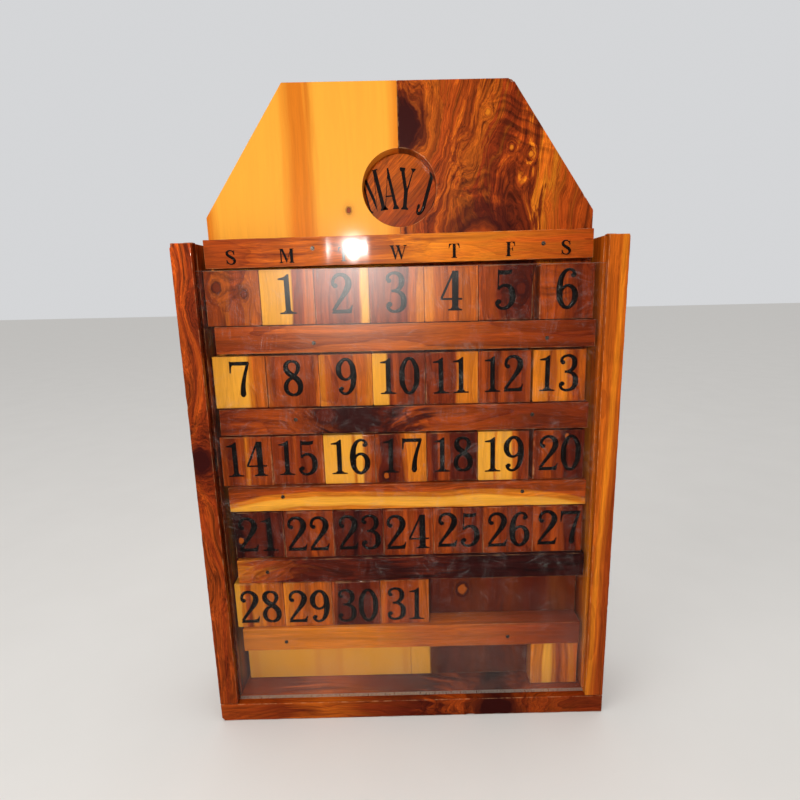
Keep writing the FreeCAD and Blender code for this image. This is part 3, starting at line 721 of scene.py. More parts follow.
# The upright that B, D, E, L and R share. Each glyph is its width and its strokes.
UPRIGHT = (stem(0.12, 0.26), serif(0.19, 0.15, 0.07), head(0.19, 0.15, 0.07))
GLYPHS = {
    "0": (0.50, [
        loop(
            (0.06, 0.5, 0.12), (0.1, 0.8, 0.095), (0.25, 0.98, 0.04), (0.4, 0.8, 0.095),
            (0.44, 0.5, 0.12), (0.4, 0.2, 0.095), (0.25, 0.02, 0.04), (0.1, 0.2, 0.095),
        ),
    ]),
    "1": (0.44, [
        cut(
            (0.16, 0.04), (0.285, 0.04), (0.285, 1.0), (0.25, 1.0), (0.16, 0.93), (0.02, 0.895),
            (0.02, 0.86), (0.16, 0.85),
        ),
        serif(0.222, 0.2),
    ]),
    "2": (0.50, [
        pen(
            (0.06, 0.7, 0.05), (0.05, 0.8, 0.045), (0.1, 0.92, 0.05), (0.24, 0.975, 0.05),
            (0.375, 0.9, 0.09), (0.42, 0.76, 0.13), (0.38, 0.61, 0.12), (0.27, 0.43, 0.075),
            (0.14, 0.24, 0.05), (0.03, 0.07, 0.045),
        ),
        ball(0.098, 0.705, 0.062),
        cut(
            (0.0, 0.0), (0.465, 0.0), (0.505, 0.21), (0.475, 0.21), (0.435, 0.13), (0.36, 0.1),
            (0.055, 0.095), (0.0, 0.04),
        ),
    ]),
    "3": (0.50, [
        pen(
            (0.06, 0.79, 0.05), (0.075, 0.9, 0.045), (0.15, 0.965, 0.04), (0.25, 0.98, 0.04),
            (0.36, 0.92, 0.08), (0.4, 0.79, 0.115), (0.36, 0.63, 0.085), (0.25, 0.545, 0.04),
            (0.15, 0.535, 0.035),
        ),
        pen(
            (0.15, 0.535, 0.035), (0.27, 0.525, 0.04), (0.39, 0.45, 0.08), (0.435, 0.27, 0.125),
            (0.385, 0.09, 0.085), (0.25, 0.02, 0.04), (0.13, 0.035, 0.04), (0.055, 0.12, 0.045),
            (0.055, 0.22, 0.05),
        ),
        ball(0.1, 0.795, 0.06), ball(0.095, 0.2, 0.065),
    ]),
    "4": (0.52, [
        stem(0.29, 0.41, 0.04), serif(0.35, 0.17),
        cut((0.29, 1.0), (0.0, 0.335), (0.0, 0.27), (0.05, 0.3), (0.3, 0.89)),
        cut((0.0, 0.27), (0.52, 0.27), (0.52, 0.32), (0.0, 0.32)),
    ]),
    "5": (0.50, [
        cut(
            (0.075, 1.0), (0.14, 0.975), (0.3, 0.97), (0.42, 0.995), (0.4, 0.89), (0.3, 0.86),
            (0.105, 0.865), (0.1, 0.5), (0.065, 0.5),
        ),
        pen(
            (0.08, 0.5, 0.035), (0.14, 0.565, 0.04), (0.25, 0.6, 0.045), (0.37, 0.54, 0.085),
            (0.43, 0.33, 0.125), (0.38, 0.12, 0.09), (0.24, 0.02, 0.04), (0.13, 0.035, 0.04),
            (0.055, 0.12, 0.045), (0.055, 0.21, 0.05),
        ),
        ball(0.097, 0.19, 0.065),
    ]),
    "6": (0.50, [
        pen(
            (0.42, 0.81, 0.05), (0.4, 0.9, 0.045), (0.32, 0.97, 0.04), (0.22, 0.955, 0.045),
            (0.12, 0.83, 0.085), (0.065, 0.6, 0.12), (0.06, 0.38, 0.125), (0.105, 0.14, 0.095),
            (0.24, 0.02, 0.04), (0.38, 0.12, 0.09), (0.435, 0.3, 0.125), (0.385, 0.5, 0.085),
            (0.27, 0.575, 0.04), (0.16, 0.53, 0.04), (0.1, 0.43, 0.04),
        ),
        ball(0.378, 0.83, 0.06),
    ]),
    "7": (0.50, [
        cut(
            (0.0, 1.0), (0.06, 0.985), (0.5, 0.995), (0.5, 0.95), (0.44, 0.885), (0.08, 0.885),
            (0.05, 0.83), (0.035, 0.67), (0.0, 0.67),
        ),
        pen(
            (0.48, 0.97, 0.04), (0.445, 0.84, 0.045), (0.39, 0.64, 0.055), (0.345, 0.44, 0.07),
            (0.32, 0.25, 0.095), (0.315, 0.07, 0.122),
        ),
        ball(0.315, 0.066, 0.062),
    ]),
    "8": (0.50, [
        pen(
            (0.25, 0.98, 0.04), (0.13, 0.93, 0.07), (0.085, 0.79, 0.105), (0.14, 0.66, 0.12),
            (0.25, 0.565, 0.12), (0.38, 0.44, 0.12), (0.435, 0.27, 0.115), (0.38, 0.09, 0.08),
            (0.25, 0.02, 0.04),
        ),
        pen(
            (0.25, 0.02, 0.04), (0.115, 0.09, 0.07), (0.06, 0.25, 0.1), (0.115, 0.42, 0.065),
            (0.25, 0.53, 0.045), (0.35, 0.65, 0.055), (0.4, 0.79, 0.085), (0.36, 0.92, 0.06),
            (0.25, 0.98, 0.04),
        ),
    ]),
    "9": (0.50, [
        pen(
            (0.08, 0.19, 0.05), (0.1, 0.1, 0.045), (0.18, 0.03, 0.04), (0.28, 0.045, 0.045),
            (0.38, 0.17, 0.085), (0.435, 0.4, 0.12), (0.44, 0.62, 0.125), (0.395, 0.86, 0.095),
            (0.26, 0.98, 0.04), (0.12, 0.88, 0.09), (0.065, 0.7, 0.125), (0.115, 0.5, 0.085),
            (0.23, 0.425, 0.04), (0.34, 0.47, 0.04), (0.4, 0.57, 0.04),
        ),
        ball(0.122, 0.17, 0.06),
    ]),
    "A": (0.74, [
        cut((0.37, 1.0), (0.1, 0.03), (0.135, 0.03), (0.36, 0.86)),
        cut((0.33, 1.0), (0.4, 1.0), (0.68, 0.03), (0.53, 0.03), (0.33, 0.78)),
        cut((0.17, 0.31), (0.55, 0.31), (0.55, 0.345), (0.17, 0.345)), serif(0.12, 0.12, 0.02),
        serif(0.6, 0.14, 0.075),
    ]),
    "B": (0.66, [
        *UPRIGHT,
        pen(
            (0.2, 0.984, 0.032), (0.36, 0.975, 0.035), (0.49, 0.89, 0.1), (0.52, 0.76, 0.13),
            (0.47, 0.61, 0.1), (0.36, 0.53, 0.035), (0.2, 0.525, 0.032),
        ),
        pen(
            (0.2, 0.525, 0.032), (0.38, 0.515, 0.035), (0.53, 0.42, 0.1), (0.57, 0.27, 0.14),
            (0.52, 0.1, 0.1), (0.38, 0.018, 0.035), (0.2, 0.016, 0.032),
        ),
    ]),
    "C": (0.66, [
        pen(
            (0.6, 0.7, 0.03), (0.54, 0.88, 0.035), (0.38, 0.98, 0.035), (0.2, 0.88, 0.08),
            (0.11, 0.66, 0.14), (0.1, 0.4, 0.145), (0.18, 0.14, 0.1), (0.37, 0.02, 0.035),
            (0.54, 0.1, 0.03), (0.61, 0.28, 0.03),
        ),
        cut((0.575, 0.66), (0.61, 0.66), (0.61, 0.99), (0.585, 0.99)),
    ]),
    "D": (0.72, [
        *UPRIGHT,
        pen(
            (0.2, 0.984, 0.032), (0.38, 0.97, 0.04), (0.54, 0.84, 0.11), (0.6, 0.62, 0.145),
            (0.6, 0.38, 0.145), (0.54, 0.16, 0.11), (0.38, 0.03, 0.04), (0.2, 0.016, 0.032),
        ),
    ]),
    "E": (0.64, [
        *UPRIGHT,
        cut(
            (0.2, 1.0), (0.56, 1.0), (0.58, 0.72), (0.55, 0.72), (0.5, 0.88), (0.4, 0.968),
            (0.2, 0.968),
        ),
        cut(
            (0.2, 0.0), (0.58, 0.0), (0.61, 0.3), (0.58, 0.3), (0.52, 0.12), (0.4, 0.032),
            (0.2, 0.032),
        ),
        cut(
            (0.2, 0.5), (0.4, 0.5), (0.43, 0.38), (0.45, 0.38), (0.45, 0.66), (0.43, 0.66),
            (0.4, 0.535), (0.2, 0.535),
        ),
    ]),
    "F": (0.60, [
        stem(0.12, 0.26), serif(0.19, 0.16, 0.07), head(0.19, 0.15, 0.07),
        cut(
            (0.2, 1.0), (0.56, 1.0), (0.58, 0.7), (0.55, 0.7), (0.5, 0.88), (0.4, 0.968),
            (0.2, 0.968),
        ),
        cut(
            (0.2, 0.48), (0.4, 0.48), (0.43, 0.36), (0.45, 0.36), (0.45, 0.64), (0.43, 0.64),
            (0.4, 0.515), (0.2, 0.515),
        ),
    ]),
    "G": (0.72, [
        pen(
            (0.6, 0.7, 0.03), (0.54, 0.88, 0.035), (0.38, 0.98, 0.035), (0.2, 0.88, 0.08),
            (0.11, 0.66, 0.14), (0.1, 0.4, 0.145), (0.18, 0.14, 0.1), (0.37, 0.02, 0.035),
            (0.5, 0.05, 0.035), (0.58, 0.14, 0.04),
        ),
        cut((0.575, 0.66), (0.61, 0.66), (0.61, 0.99), (0.585, 0.99)), stem(0.53, 0.66, 0.03, 0.42),
        stem(0.44, 0.71, 0.395, 0.425),
    ]),
    "J": (0.46, [
        stem(0.26, 0.39, 0.2, 1.0), head(0.325, 0.14, 0.065),
        pen(
            (0.325, 0.26, 0.13), (0.315, 0.1, 0.11), (0.22, -0.02, 0.045), (0.11, -0.01, 0.045),
            (0.07, 0.1, 0.05),
        ),
        ball(0.1, 0.13, 0.065),
    ]),
    "L": (0.60, [
        stem(0.12, 0.26), serif(0.19, 0.15, 0.07), head(0.19, 0.16, 0.07),
        cut(
            (0.2, 0.0), (0.54, 0.0), (0.58, 0.34), (0.55, 0.34), (0.49, 0.13), (0.38, 0.032),
            (0.2, 0.032),
        ),
    ]),
    "M": (0.94, [
        stem(0.13, 0.165, 0.02), stem(0.7, 0.84), serif(0.148, 0.12, 0.018),
        serif(0.77, 0.15, 0.07),
        cut((0.03, 1.0), (0.28, 1.0), (0.5, 0.3), (0.46, 0.0), (0.15, 0.968), (0.03, 0.968)),
        cut(
            (0.46, 0.0), (0.49, 0.15), (0.72, 0.97), (0.72, 1.0), (0.92, 1.0), (0.92, 0.968),
            (0.76, 0.968),
        ),
    ]),
    "N": (0.74, [
        stem(0.13, 0.165, 0.02), stem(0.58, 0.615), serif(0.148, 0.12, 0.018),
        head(0.598, 0.12, 0.018),
        cut(
            (0.02, 1.0), (0.24, 1.0), (0.6, 0.22), (0.615, 0.0), (0.57, 0.0), (0.15, 0.9),
            (0.13, 0.968), (0.02, 0.968),
        ),
    ]),
    "O": (0.70, [
        loop(
            (0.1, 0.5, 0.145), (0.15, 0.8, 0.115), (0.35, 0.98, 0.036), (0.55, 0.8, 0.115),
            (0.6, 0.5, 0.145), (0.55, 0.2, 0.115), (0.35, 0.02, 0.036), (0.15, 0.2, 0.115),
        ),
    ]),
    "P": (0.62, [
        stem(0.12, 0.26), serif(0.19, 0.16, 0.07), head(0.19, 0.15, 0.07),
        pen(
            (0.2, 0.984, 0.032), (0.37, 0.97, 0.04), (0.5, 0.88, 0.11), (0.53, 0.73, 0.135),
            (0.49, 0.57, 0.1), (0.37, 0.49, 0.04), (0.2, 0.484, 0.032),
        ),
    ]),
    "R": (0.72, [
        *UPRIGHT,
        pen(
            (0.2, 0.984, 0.032), (0.37, 0.97, 0.04), (0.49, 0.88, 0.11), (0.52, 0.75, 0.13),
            (0.48, 0.61, 0.1), (0.36, 0.53, 0.04), (0.2, 0.525, 0.032),
        ),
        pen(
            (0.34, 0.52, 0.035), (0.46, 0.46, 0.07), (0.53, 0.34, 0.125), (0.545, 0.2, 0.13),
            (0.58, 0.06, 0.09), (0.66, 0.02, 0.035), (0.7, 0.07, 0.03),
        ),
    ]),
    "S": (0.60, [
        pen(
            (0.52, 0.7, 0.03), (0.46, 0.89, 0.035), (0.3, 0.98, 0.035), (0.15, 0.92, 0.08),
            (0.1, 0.78, 0.12), (0.17, 0.64, 0.145), (0.33, 0.51, 0.165), (0.46, 0.39, 0.15),
            (0.52, 0.23, 0.12), (0.45, 0.08, 0.08), (0.3, 0.02, 0.035), (0.14, 0.1, 0.035),
            (0.06, 0.3, 0.03),
        ),
        cut((0.495, 0.68), (0.535, 0.68), (0.53, 0.99), (0.505, 0.99)),
        cut((0.045, 0.01), (0.07, 0.01), (0.085, 0.32), (0.045, 0.32)),
    ]),
    "T": (0.66, [
        stem(0.26, 0.4), serif(0.33, 0.17, 0.07),
        cut(
            (0.03, 1.0), (0.63, 1.0), (0.66, 0.68), (0.63, 0.68), (0.57, 0.88), (0.47, 0.968),
            (0.19, 0.968), (0.09, 0.88), (0.03, 0.68), (0.0, 0.68),
        ),
    ]),
    "U": (0.72, [
        head(0.19, 0.15, 0.07), head(0.6, 0.12, 0.018),
        pen(
            (0.19, 1.0, 0.14), (0.19, 0.6, 0.14), (0.19, 0.3, 0.14), (0.24, 0.09, 0.1),
            (0.38, 0.018, 0.04), (0.53, 0.09, 0.036), (0.6, 0.3, 0.036), (0.6, 0.65, 0.036),
            (0.6, 1.0, 0.036),
        ),
    ]),
    "V": (0.72, [
        cut((0.05, 0.97), (0.21, 0.97), (0.42, 0.22), (0.37, 0.0), (0.34, 0.0)),
        cut((0.34, 0.0), (0.37, 0.0), (0.64, 0.97), (0.6, 0.97), (0.38, 0.2)),
        head(0.13, 0.14, 0.075), head(0.62, 0.11, 0.02),
    ]),
    "W": (1.02, [
        cut((0.05, 0.97), (0.2, 0.97), (0.37, 0.22), (0.33, 0.0), (0.3, 0.0)),
        cut((0.3, 0.0), (0.33, 0.0), (0.52, 0.8), (0.5, 0.9), (0.33, 0.2)),
        cut((0.4, 0.97), (0.55, 0.97), (0.73, 0.22), (0.69, 0.0), (0.66, 0.0)),
        cut((0.66, 0.0), (0.69, 0.0), (0.94, 0.97), (0.9, 0.97), (0.69, 0.2)),
        head(0.125, 0.13, 0.07), head(0.475, 0.13, 0.07), head(0.92, 0.1, 0.02),
    ]),
    "Y": (0.70, [
        stem(0.28, 0.42, 0.0, 0.46), serif(0.35, 0.16, 0.07),
        cut((0.04, 0.97), (0.2, 0.97), (0.4, 0.5), (0.42, 0.4), (0.28, 0.4)),
        cut((0.34, 0.4), (0.42, 0.4), (0.63, 0.97), (0.59, 0.97), (0.38, 0.5)),
        head(0.12, 0.13, 0.075), head(0.61, 0.1, 0.02),
    ]),
}


def in_scene(name, data):
    """A new object in the scene."""
    made = bpy.data.objects.new(name, data)
    bpy.context.scene.collection.objects.link(made)
    return made


def new_curve(name, kind, points, closed):
    """A flat curve through (x, y) or (x, y, width) points."""
    data = bpy.data.curves.new(name, "CURVE")
    data.dimensions = "2D"
    spline = data.splines.new(kind)
    if kind == "BEZIER":
        spline.bezier_points.add(len(points) - 1)
        for point, (x, y, width) in zip(spline.bezier_points, points):
            point.co = (x, y, 0)
            point.radius = width + BOLD
            point.handle_left_type = point.handle_right_type = "AUTO"
    else:
        spline.points.add(len(points) - 1)
        for point, (x, y) in zip(spline.points, points):
            point.co = (x, y, 0, 1)
    spline.use_cyclic_u = closed
    return in_scene(name, data)


def new_stroke(kind, shape, nib):
    """One stroke of a glyph as a flat mesh."""
    if kind == "ball":
        deselect()
        x, y, radius = shape
        bpy.ops.mesh.primitive_circle_add(
            vertices=20, radius=radius, fill_type="NGON", location=(x, y, 0)
        )
        return settle()
    if kind == "cut":
        made = new_curve("stroke", "POLY", shape, True)
        made.data.fill_mode = "BOTH"
    else:
        made = new_curve("stroke", "BEZIER", shape, kind == "loop")
        made.data.splines[0].radius_interpolation = "BSPLINE"
        made.data.resolution_u = 8
        made.data.bevel_mode = "OBJECT"
        made.data.bevel_object = nib
    pick(made)
    bpy.ops.object.convert(target="MESH")
    return bpy.context.object


GLYPH_THICK = 0.1


def new_glyph(strokes, nib):
    """A glyph as one closed solid, from strokes raised and joined."""
    whole = None
    for kind, shape in strokes:
        made = new_stroke(kind, shape, nib)
        edit(made, everything=True)
        bpy.ops.mesh.remove_doubles(threshold=1e-5)
        bpy.ops.mesh.extrude_region_move(TRANSFORM_OT_translate={"value": (0, 0, GLYPH_THICK)})
        bpy.ops.mesh.select_all(action="SELECT")
        bpy.ops.mesh.normals_make_consistent(inside=False)
        leave()
        if whole is None:
            whole = made
        else:
            combine_with(whole, "UNION", made, use_self=True)
    return whole


def draw_glyphs():
    """Every glyph's mesh, by character."""
    nib = new_curve("nib", "POLY", [(-0.5, 0), (0.5, 0)], False)
    meshes = {}
    for character, (_, strokes) in GLYPHS.items():
        made = new_glyph(strokes, nib)
        meshes[character] = made.data
        bpy.data.objects.remove(made)
    bpy.data.objects.remove(nib)
    return meshes


glyph_meshes = draw_glyphs()

# The reader looks along +Y, so a printed face's right is +X, its up +Z and its out -Y.
FACING = Matrix(((1, 0, 0, 0), (0, 0, -1, 0), (0, 1, 0, 0), (0, 0, 0, 1)))
INK_THICK_MM = 0.12
LETTER_GAP = 0.08


def write(name, text, place, tall_mm, body, squeeze):
    """Prints a word in ink: place carries its upright frame, with the word's middle on its
    baseline, to where it stands."""
    tall, thick = tall_mm * MM, INK_THICK_MM * MM / GLYPH_THICK
    advance = [GLYPHS[character][0] * squeeze for character in text]
    start = -(sum(advance) + LETTER_GAP * (len(text) - 1)) / 2
    letters = []
    for character, step in zip(text, advance):
        letter = in_scene(name, glyph_meshes[character].copy())
        fit = Matrix.Translation((start * tall, 0, 0)) @ Matrix.Diagonal((squeeze * tall, tall, thick, 1))
        letter.data.transform(place @ FACING @ fit)
        letters.append(letter)
        start += step + LETTER_GAP
    pick(letters[0])
    for letter in letters:
        letter.select_set(True)
    if len(letters) > 1:
        bpy.ops.object.join()
    word = letters[0]
    word.name = word.data.name = name
    word.data.materials.clear()
    word.data.materials.append(INK)
    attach(word, body)


# ---------------------------------------------------------------- case


def worn_bar(name, axis, ease_mm, wear_mm=0.12):
    """A board in the place of its CAD node, with eased and slightly uneven edges."""
    piece = new_block(name + "_wood", *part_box(name))
    ring_cuts(piece, axis)
    ease_edges(piece, ease_mm)
    wear(piece, wear_mm)
    return piece


def side_board(name, sign, **look):
    """A side board with the cover's groove down its inner face; sign is -1 on the left."""
    low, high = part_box(name)
    piece = new_block(name + "_wood", low, high)
    inner = low[0] if sign > 0 else high[0]
    middle = sum(GROOVE) / 2

    def groove_face(face, mesh):
        flat = abs(face.normal.x) > 0.9 and abs(face.center.x - inner) < 0.01 * MM
        return flat and abs(face.center.y - middle) < GROOVE[1] - middle

    for edge in GROOVE:
        edit(piece, everything=True)
        bpy.ops.mesh.bisect(plane_co=(0, edge, 0), plane_no=(0, 1, 0))
        leave()
    edit(piece)
    choose(piece, "faces", groove_face)
    bpy.ops.mesh.extrude_region_move(TRANSFORM_OT_translate={"value": (sign * GROOVE_DEPTH, 0, 0)})
    leave()
    ring_cuts(piece, 2)
    ease_edges(piece, 0.45)
    wear(piece, 0.12, 0.3)
    for bite in CHIPS[name]:
        chip(piece, *bite)
    wood = Cedar(name.removesuffix("_board"), low, high, **look)
    finish_wood(piece, wood.material, name)


# The groove's front and back faces, and further down its depth, from the cover that runs in it.
cover_low, cover_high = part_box("front_cover")
PLAY = 0.4 * MM
SIDE_PLAY = 0.5 * MM
GROOVE = (cover_low[1] - PLAY, cover_high[1] + PLAY)

case_low, case_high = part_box("base_board")
front = case_low[1]
left_low, left_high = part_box("left_side_board")
right_low, right_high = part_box("right_side_board")
GROOVE_DEPTH = cover_high[0] + SIDE_PLAY - right_low[0]
# Bites out of the front edges: place, radius in millimetres and how far they are drawn out.
CHIPS = {
    "left_side_board": (
        ((left_low[0], front, 0.2445), 1.6, (1, 1, 1)),
        ((left_low[0], front, 0.1720), 0.9, (1, 1, 2.2)),
        ((left_high[0], front, 0.0340), 0.7, (1, 1, 2.5)),
    ),
    "right_side_board": (
        ((right_high[0], front, 0.2452), 1.1, (1, 1, 1)),
        ((right_high[0], front, 0.0620), 0.8, (1, 1, 2.4)),
    ),
}

side_board(
    "left_side_board", -1, bands="russet 0.2 red 0.45 russet 0.8 red",
    seed=11, ends=(1.0, 1.7), spacing=2.1, line=0.6, swirl=2.4, softness=0.1, lean=0.01,
    ragged=0.5, contrast=1.7,
    knots=[(-1.0, 17.0, 4.6, "dark"), (9.0, 88.0, 3.0, "red"), (-12.0, 52.0, 3.0, "maroon")],
    curls=[(0.0, 96.0, 18.0), (0.0, 45.0, 16.0), (0.0, -40.0, 14.0)])
side_board(
    "right_side_board", 1, bands="orange 0.34 amber 0.60 orange 0.85 russet",
    seed=12, spacing=2.6, line=0.4, softness=0.06, lean=-0.032, swirl=0.5)

base = worn_bar("base_board", 0, 0.5)
chip(base, (case_low[0], front, 0.0005), 1.5)
chip(base, (0.031, front, 0.0), 1.0, (3, 1, 1))
base_wood = Cedar(
    "base", case_low, case_high, "russet 0.12 red 0.22 orange 0.34 red 0.46 maroon 0.58 russet 0.90 red",
    grain="side", along_bands=True, seed=13, spacing=2.0, softness=0.05, ragged=0.35, swirl=1.6,
    knots=[(-2.0, 45.0, 8.0, "dark")])
finish_wood(base, base_wood.material, "base_board")

# ---------------------------------------------------------------- back panel

panel_low, panel_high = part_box("back_panel_left")
panel_middle = (panel_low[2] + panel_high[2]) / 2 / MM
window_middle = Vector((0, 0, panel_high[2] - 45.5 * MM))
WINDOW_RADIUS = 17.25 * MM
SHOULDER = panel_high[2] - 56.8 * MM
GABLE_HALF = 51.85 * MM


def gabled_board(name, sign, slot, bites=(), **look):
    """Half of the back panel: shoulder sawn off, half of the window bored, edges eased."""
    low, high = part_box(name)
    piece = new_block(name + "_wood", low, high)
    edge = sign * max(abs(low[0]), abs(high[0]))
    slope = Vector((edge - sign * GABLE_HALF, 0, SHOULDER - high[2]))
    normal = Vector((sign * abs(slope.z), 0, abs(slope.x)))
    cut_away(piece, (edge, 0, SHOULDER), normal)
    bore = new_disc(WINDOW_RADIUS, 0.06, window_middle, 96)
    combine_with(piece, "DIFFERENCE", bore)
    ease_edges(piece, 0.35, 2)
    for bite in bites:
        chip(piece, *bite)
    finish_wood(piece, Cedar(name, low, high, **look).material, name)


gabled_board(
    "back_panel_left", -1, "sapwood_cedar",
    bands="amber 0.04 straw 0.43 amber 0.56 straw 0.97 amber",
    seed=21, spacing=5.5, line=0.16, swirl=0.5, softness=0.03, ragged=0.06, contrast=0.3,
    foot="straw", knots=[(21.5, 260.0 - panel_middle, 0.9, "russet")])
gabled_board(
    "back_panel_right", 1, "heartwood_cedar",
    bites=(
        ((GABLE_HALF, panel_low[1], panel_high[2]), 1.8, (1, 1, 1)),
        ((0.0868, panel_low[1], 0.2646), 0.9, (1, 1, 1.6)),
    ),
    bands="straw 0.063 maroon 0.12 russet 0.22 orange 0.36 russet 0.50 orange 0.60 red 0.72 russet"
    " 0.80 amber 0.84 orange 0.93 russet",
    seed=22, spacing=4.6, line=0.65, swirl=2.4, lean=0.062, softness=0.03, ragged=0.5, contrast=1.5,
    ends=(0.8, 1.05), foot="maroon",
    curls=[(14.0, 300.0 - panel_middle, 26.0), (-10.0, 270.0 - panel_middle, 14.0)],
    knots=[(-8.0, 239.0 - panel_middle, 12.0, "russet"), (-43.0, 296.0 - panel_middle, 7.5, "dark"),
           (-16.5, 62.5 - panel_middle, 2.6, "orange"), (-4.5, 301.0 - panel_middle, 1.2, "amber"),
           (6.5, 286.0 - panel_middle, 0.9, "amber"), (15.5, 283.0 - panel_middle, 1.1, "amber")])

# ---------------------------------------------------------------- weekday strip and rails

strip_low, strip_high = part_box("weekday_strip")
STRIP_TILT = math.radians(0.5)
STRIP_HALF_WIDE = 88.9 * MM
STRIP_TALL = 13.2 * MM
strip_centre = (Vector(strip_low) + Vector(strip_high)) / 2
half = Vector((STRIP_HALF_WIDE, (strip_high[1] - strip_low[1]) / 2, STRIP_TALL / 2))
tilt = Matrix.Rotation(-STRIP_TILT, 4, "Y")
strip = new_block("weekday_strip_wood", strip_centre - half, strip_centre + half)
ring_cuts(strip, 0)
ease_edges(strip, 0.4)
wear(strip, 0.1)
strip.data.transform(Matrix.Translation(strip_centre) @ tilt @ Matrix.Translation(-strip_centre))
strip_wood = Cedar(
    "strip", strip_low, strip_high, "russet 0.2 orange 0.5 amber 0.75 orange 0.92 russet",
    grain="side", along_bands=True, seed=31, spacing=2.2, line=0.45, swirl=1.4, softness=0.08,
    ragged=0.5)
finish_wood(strip, strip_wood.material, "weekday_strip")

# Where each weekday's initial stands, in millimetres from the middle.
WEEKDAYS = (
    (-77.4, "S"), (-52.0, "M"), (-26.0, "T"), (-1.0, "W"), (24.4, "T"), (50.0, "F"), (75.4, "S"),
)
BASELINE_DROP = 4.75 * MM
for index, (across_mm, letter) in enumerate(WEEKDAYS):
    across = across_mm * MM
    baseline = strip_centre.z + (across - strip_centre.x) * math.tan(STRIP_TILT) - BASELINE_DROP
    spot = Matrix.Translation((across, strip_low[1] + INK_LIFT, baseline)) @ tilt
    write(f"weekday_{index + 1}", letter, spot, 6.3, "case", 1.22)

RAIL_LOOKS = {
    1: dict(
        bands="russet 0.2 orange 0.65 russet 0.85 red", along_bands=True, seed=41, spacing=1.5,
        line=0.65, swirl=0.5, softness=0.08, ragged=0.3),
    2: dict(
        bands="red 0.1 russet 0.28 dark 0.45 maroon 0.5 russet 0.75 red", along_bands=True, seed=42,
        swirl=1.8, softness=0.05, ragged=0.4,
        knots=[(0.0, -24.0, 6.0, "dark"), (3.0, -38.0, 4.0, "maroon")]),
    3: dict(
        bands="amber 0.15 straw 0.55 amber 0.78 russet", seed=43, bow=0.45, lean=0.01, spacing=2.2,
        line=0.45, softness=0.04, contrast=1.4),
    4: dict(
        bands="amber 0.06 russet 0.14 maroon 0.4 dark 0.5 maroon 0.6 dark", along_bands=True, seed=44,
        swirl=2.4, line=0.7, softness=0.05, ragged=0.5, contrast=1.5),
    5: dict(
        bands="amber 0.45 orange 0.75 russet 0.9 red", along_bands=True, seed=45, spacing=1.8,
        line=0.4, swirl=0.6, softness=0.08, ragged=0.3),
}
for number, look in RAIL_LOOKS.items():
    name = f"rail_{number}"
    rail = worn_bar(name, 0, 0.4, 0.08)
    rail_wood = Cedar(name, *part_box(name), grain="side", **look)
    finish_wood(rail, rail_wood.material, name)

# ---------------------------------------------------------------- tiles

